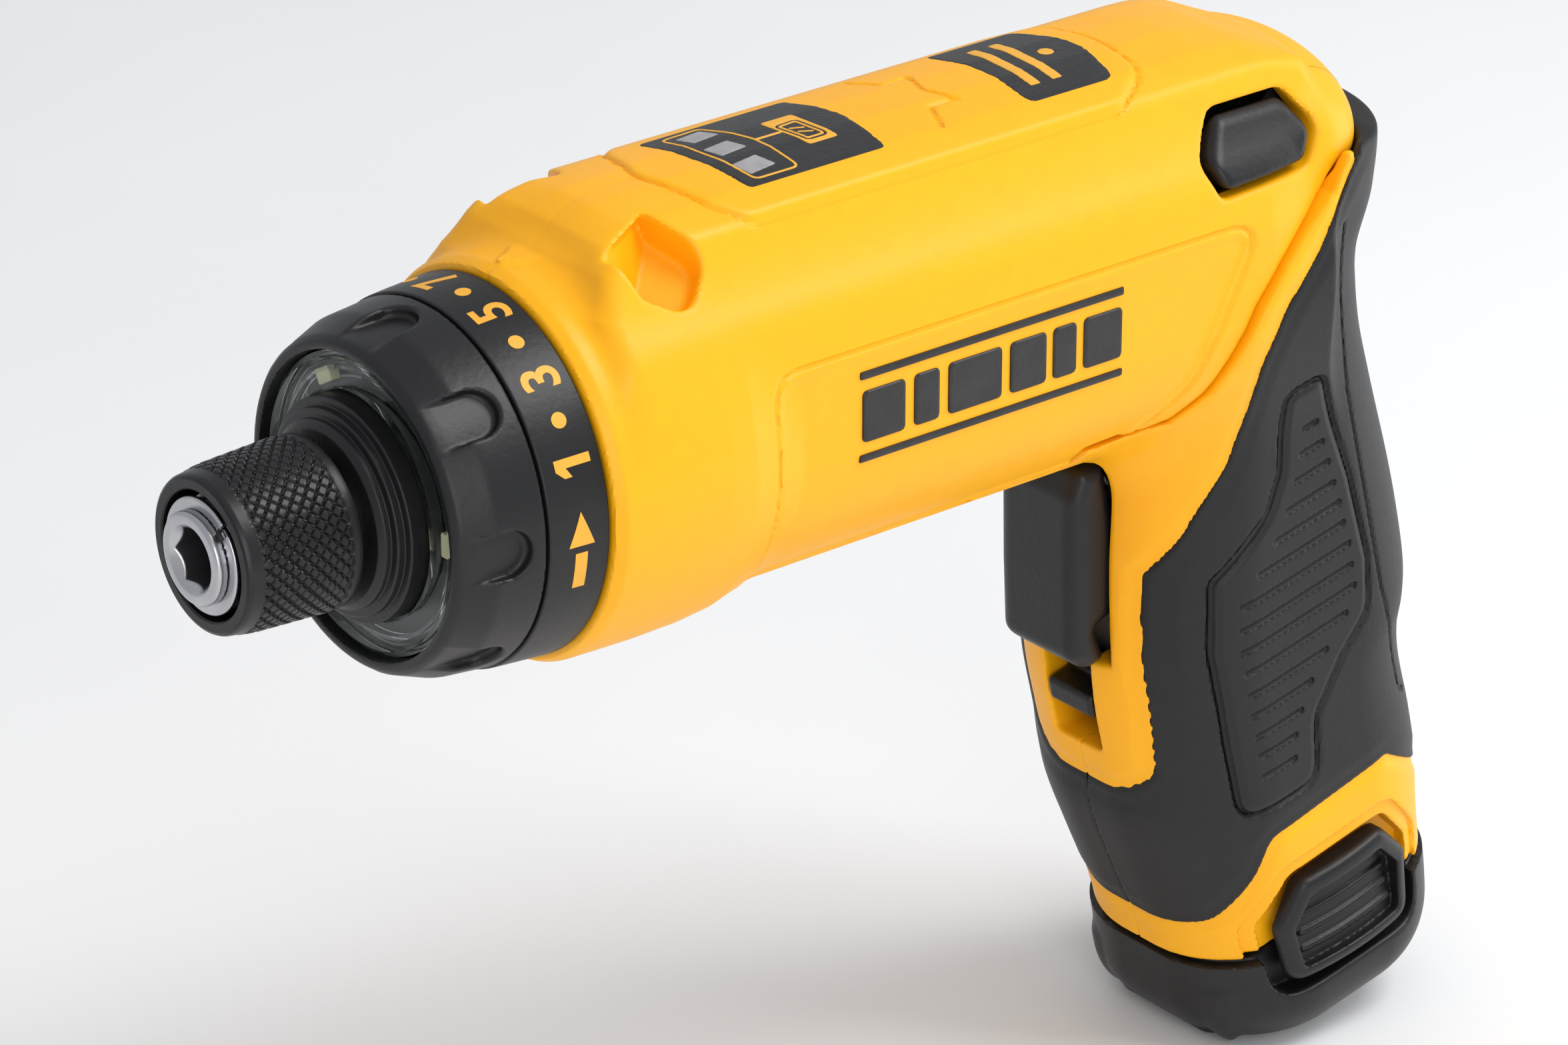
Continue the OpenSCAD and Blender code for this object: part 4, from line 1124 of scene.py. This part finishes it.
def stage():
    """Floor, camera, background and three lamps, none of which belongs to the part."""
    scene = bpy.context.scene
    scene.view_settings.view_transform = "Standard"
    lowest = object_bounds()[0].z
    floor = bpy.data.meshes.new("floor")
    reach = 3.0
    floor.from_pydata([(-reach, -reach, lowest), (reach, -reach, lowest),
                       (reach, reach, lowest), (-reach, reach, lowest)], [], [(0, 1, 2, 3)])
    ground = bpy.data.objects.new("floor", floor)
    scene.collection.objects.link(ground)
    floor.materials.append(finish_material("floor", (0.93, 0.93, 0.93), 0.6, 0.02, 40, 0.01))
    ground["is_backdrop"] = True
    back = Vector((math.sin(AZIMUTH) * math.cos(ELEVATION),
                   -math.cos(AZIMUTH) * math.cos(ELEVATION), math.sin(ELEVATION)))
    right = (-back).cross(Vector((0, 0, 1))).normalized()
    up = right.cross(-back)
    camera = bpy.data.objects.new("camera", bpy.data.cameras.new("camera"))
    camera.matrix_world = Matrix.Translation(AIM + back * DISTANCE) @ Matrix(
        (right, up, back)).transposed().to_4x4()
    camera.data.lens = FOCAL
    camera.data.clip_start = 0.05
    scene.collection.objects.link(camera)
    scene.camera = camera
    world = bpy.data.worlds.new("studio")
    world.use_nodes = True
    world.node_tree.nodes["Background"].inputs["Color"].default_value = (0.9, 0.92, 0.95, 1)
    world.node_tree.nodes["Background"].inputs["Strength"].default_value = 0.62
    scene.world = world

    def panel(name, where, size, watts):
        lamp = bpy.data.lights.new(name, "AREA")
        lamp.shape = "RECTANGLE"
        lamp.size, lamp.size_y = size
        lamp.energy = watts
        obj = bpy.data.objects.new(name, lamp)
        obj.location = where
        aim = Vector((-0.09, 0, -0.02)) - Vector(where)
        obj.rotation_euler = aim.to_track_quat("-Z", "Y").to_euler()
        scene.collection.objects.link(obj)
        obj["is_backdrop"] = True

    panel("key", (-0.45, 0.35, 0.75), (0.5, 0.4), 4.6)
    panel("side", (0.25, 0.75, 0.25), (0.35, 0.6), 1.9)
    panel("rear", (-0.75, 0.25, 0.1), (0.3, 0.6), 1.6)


stage()
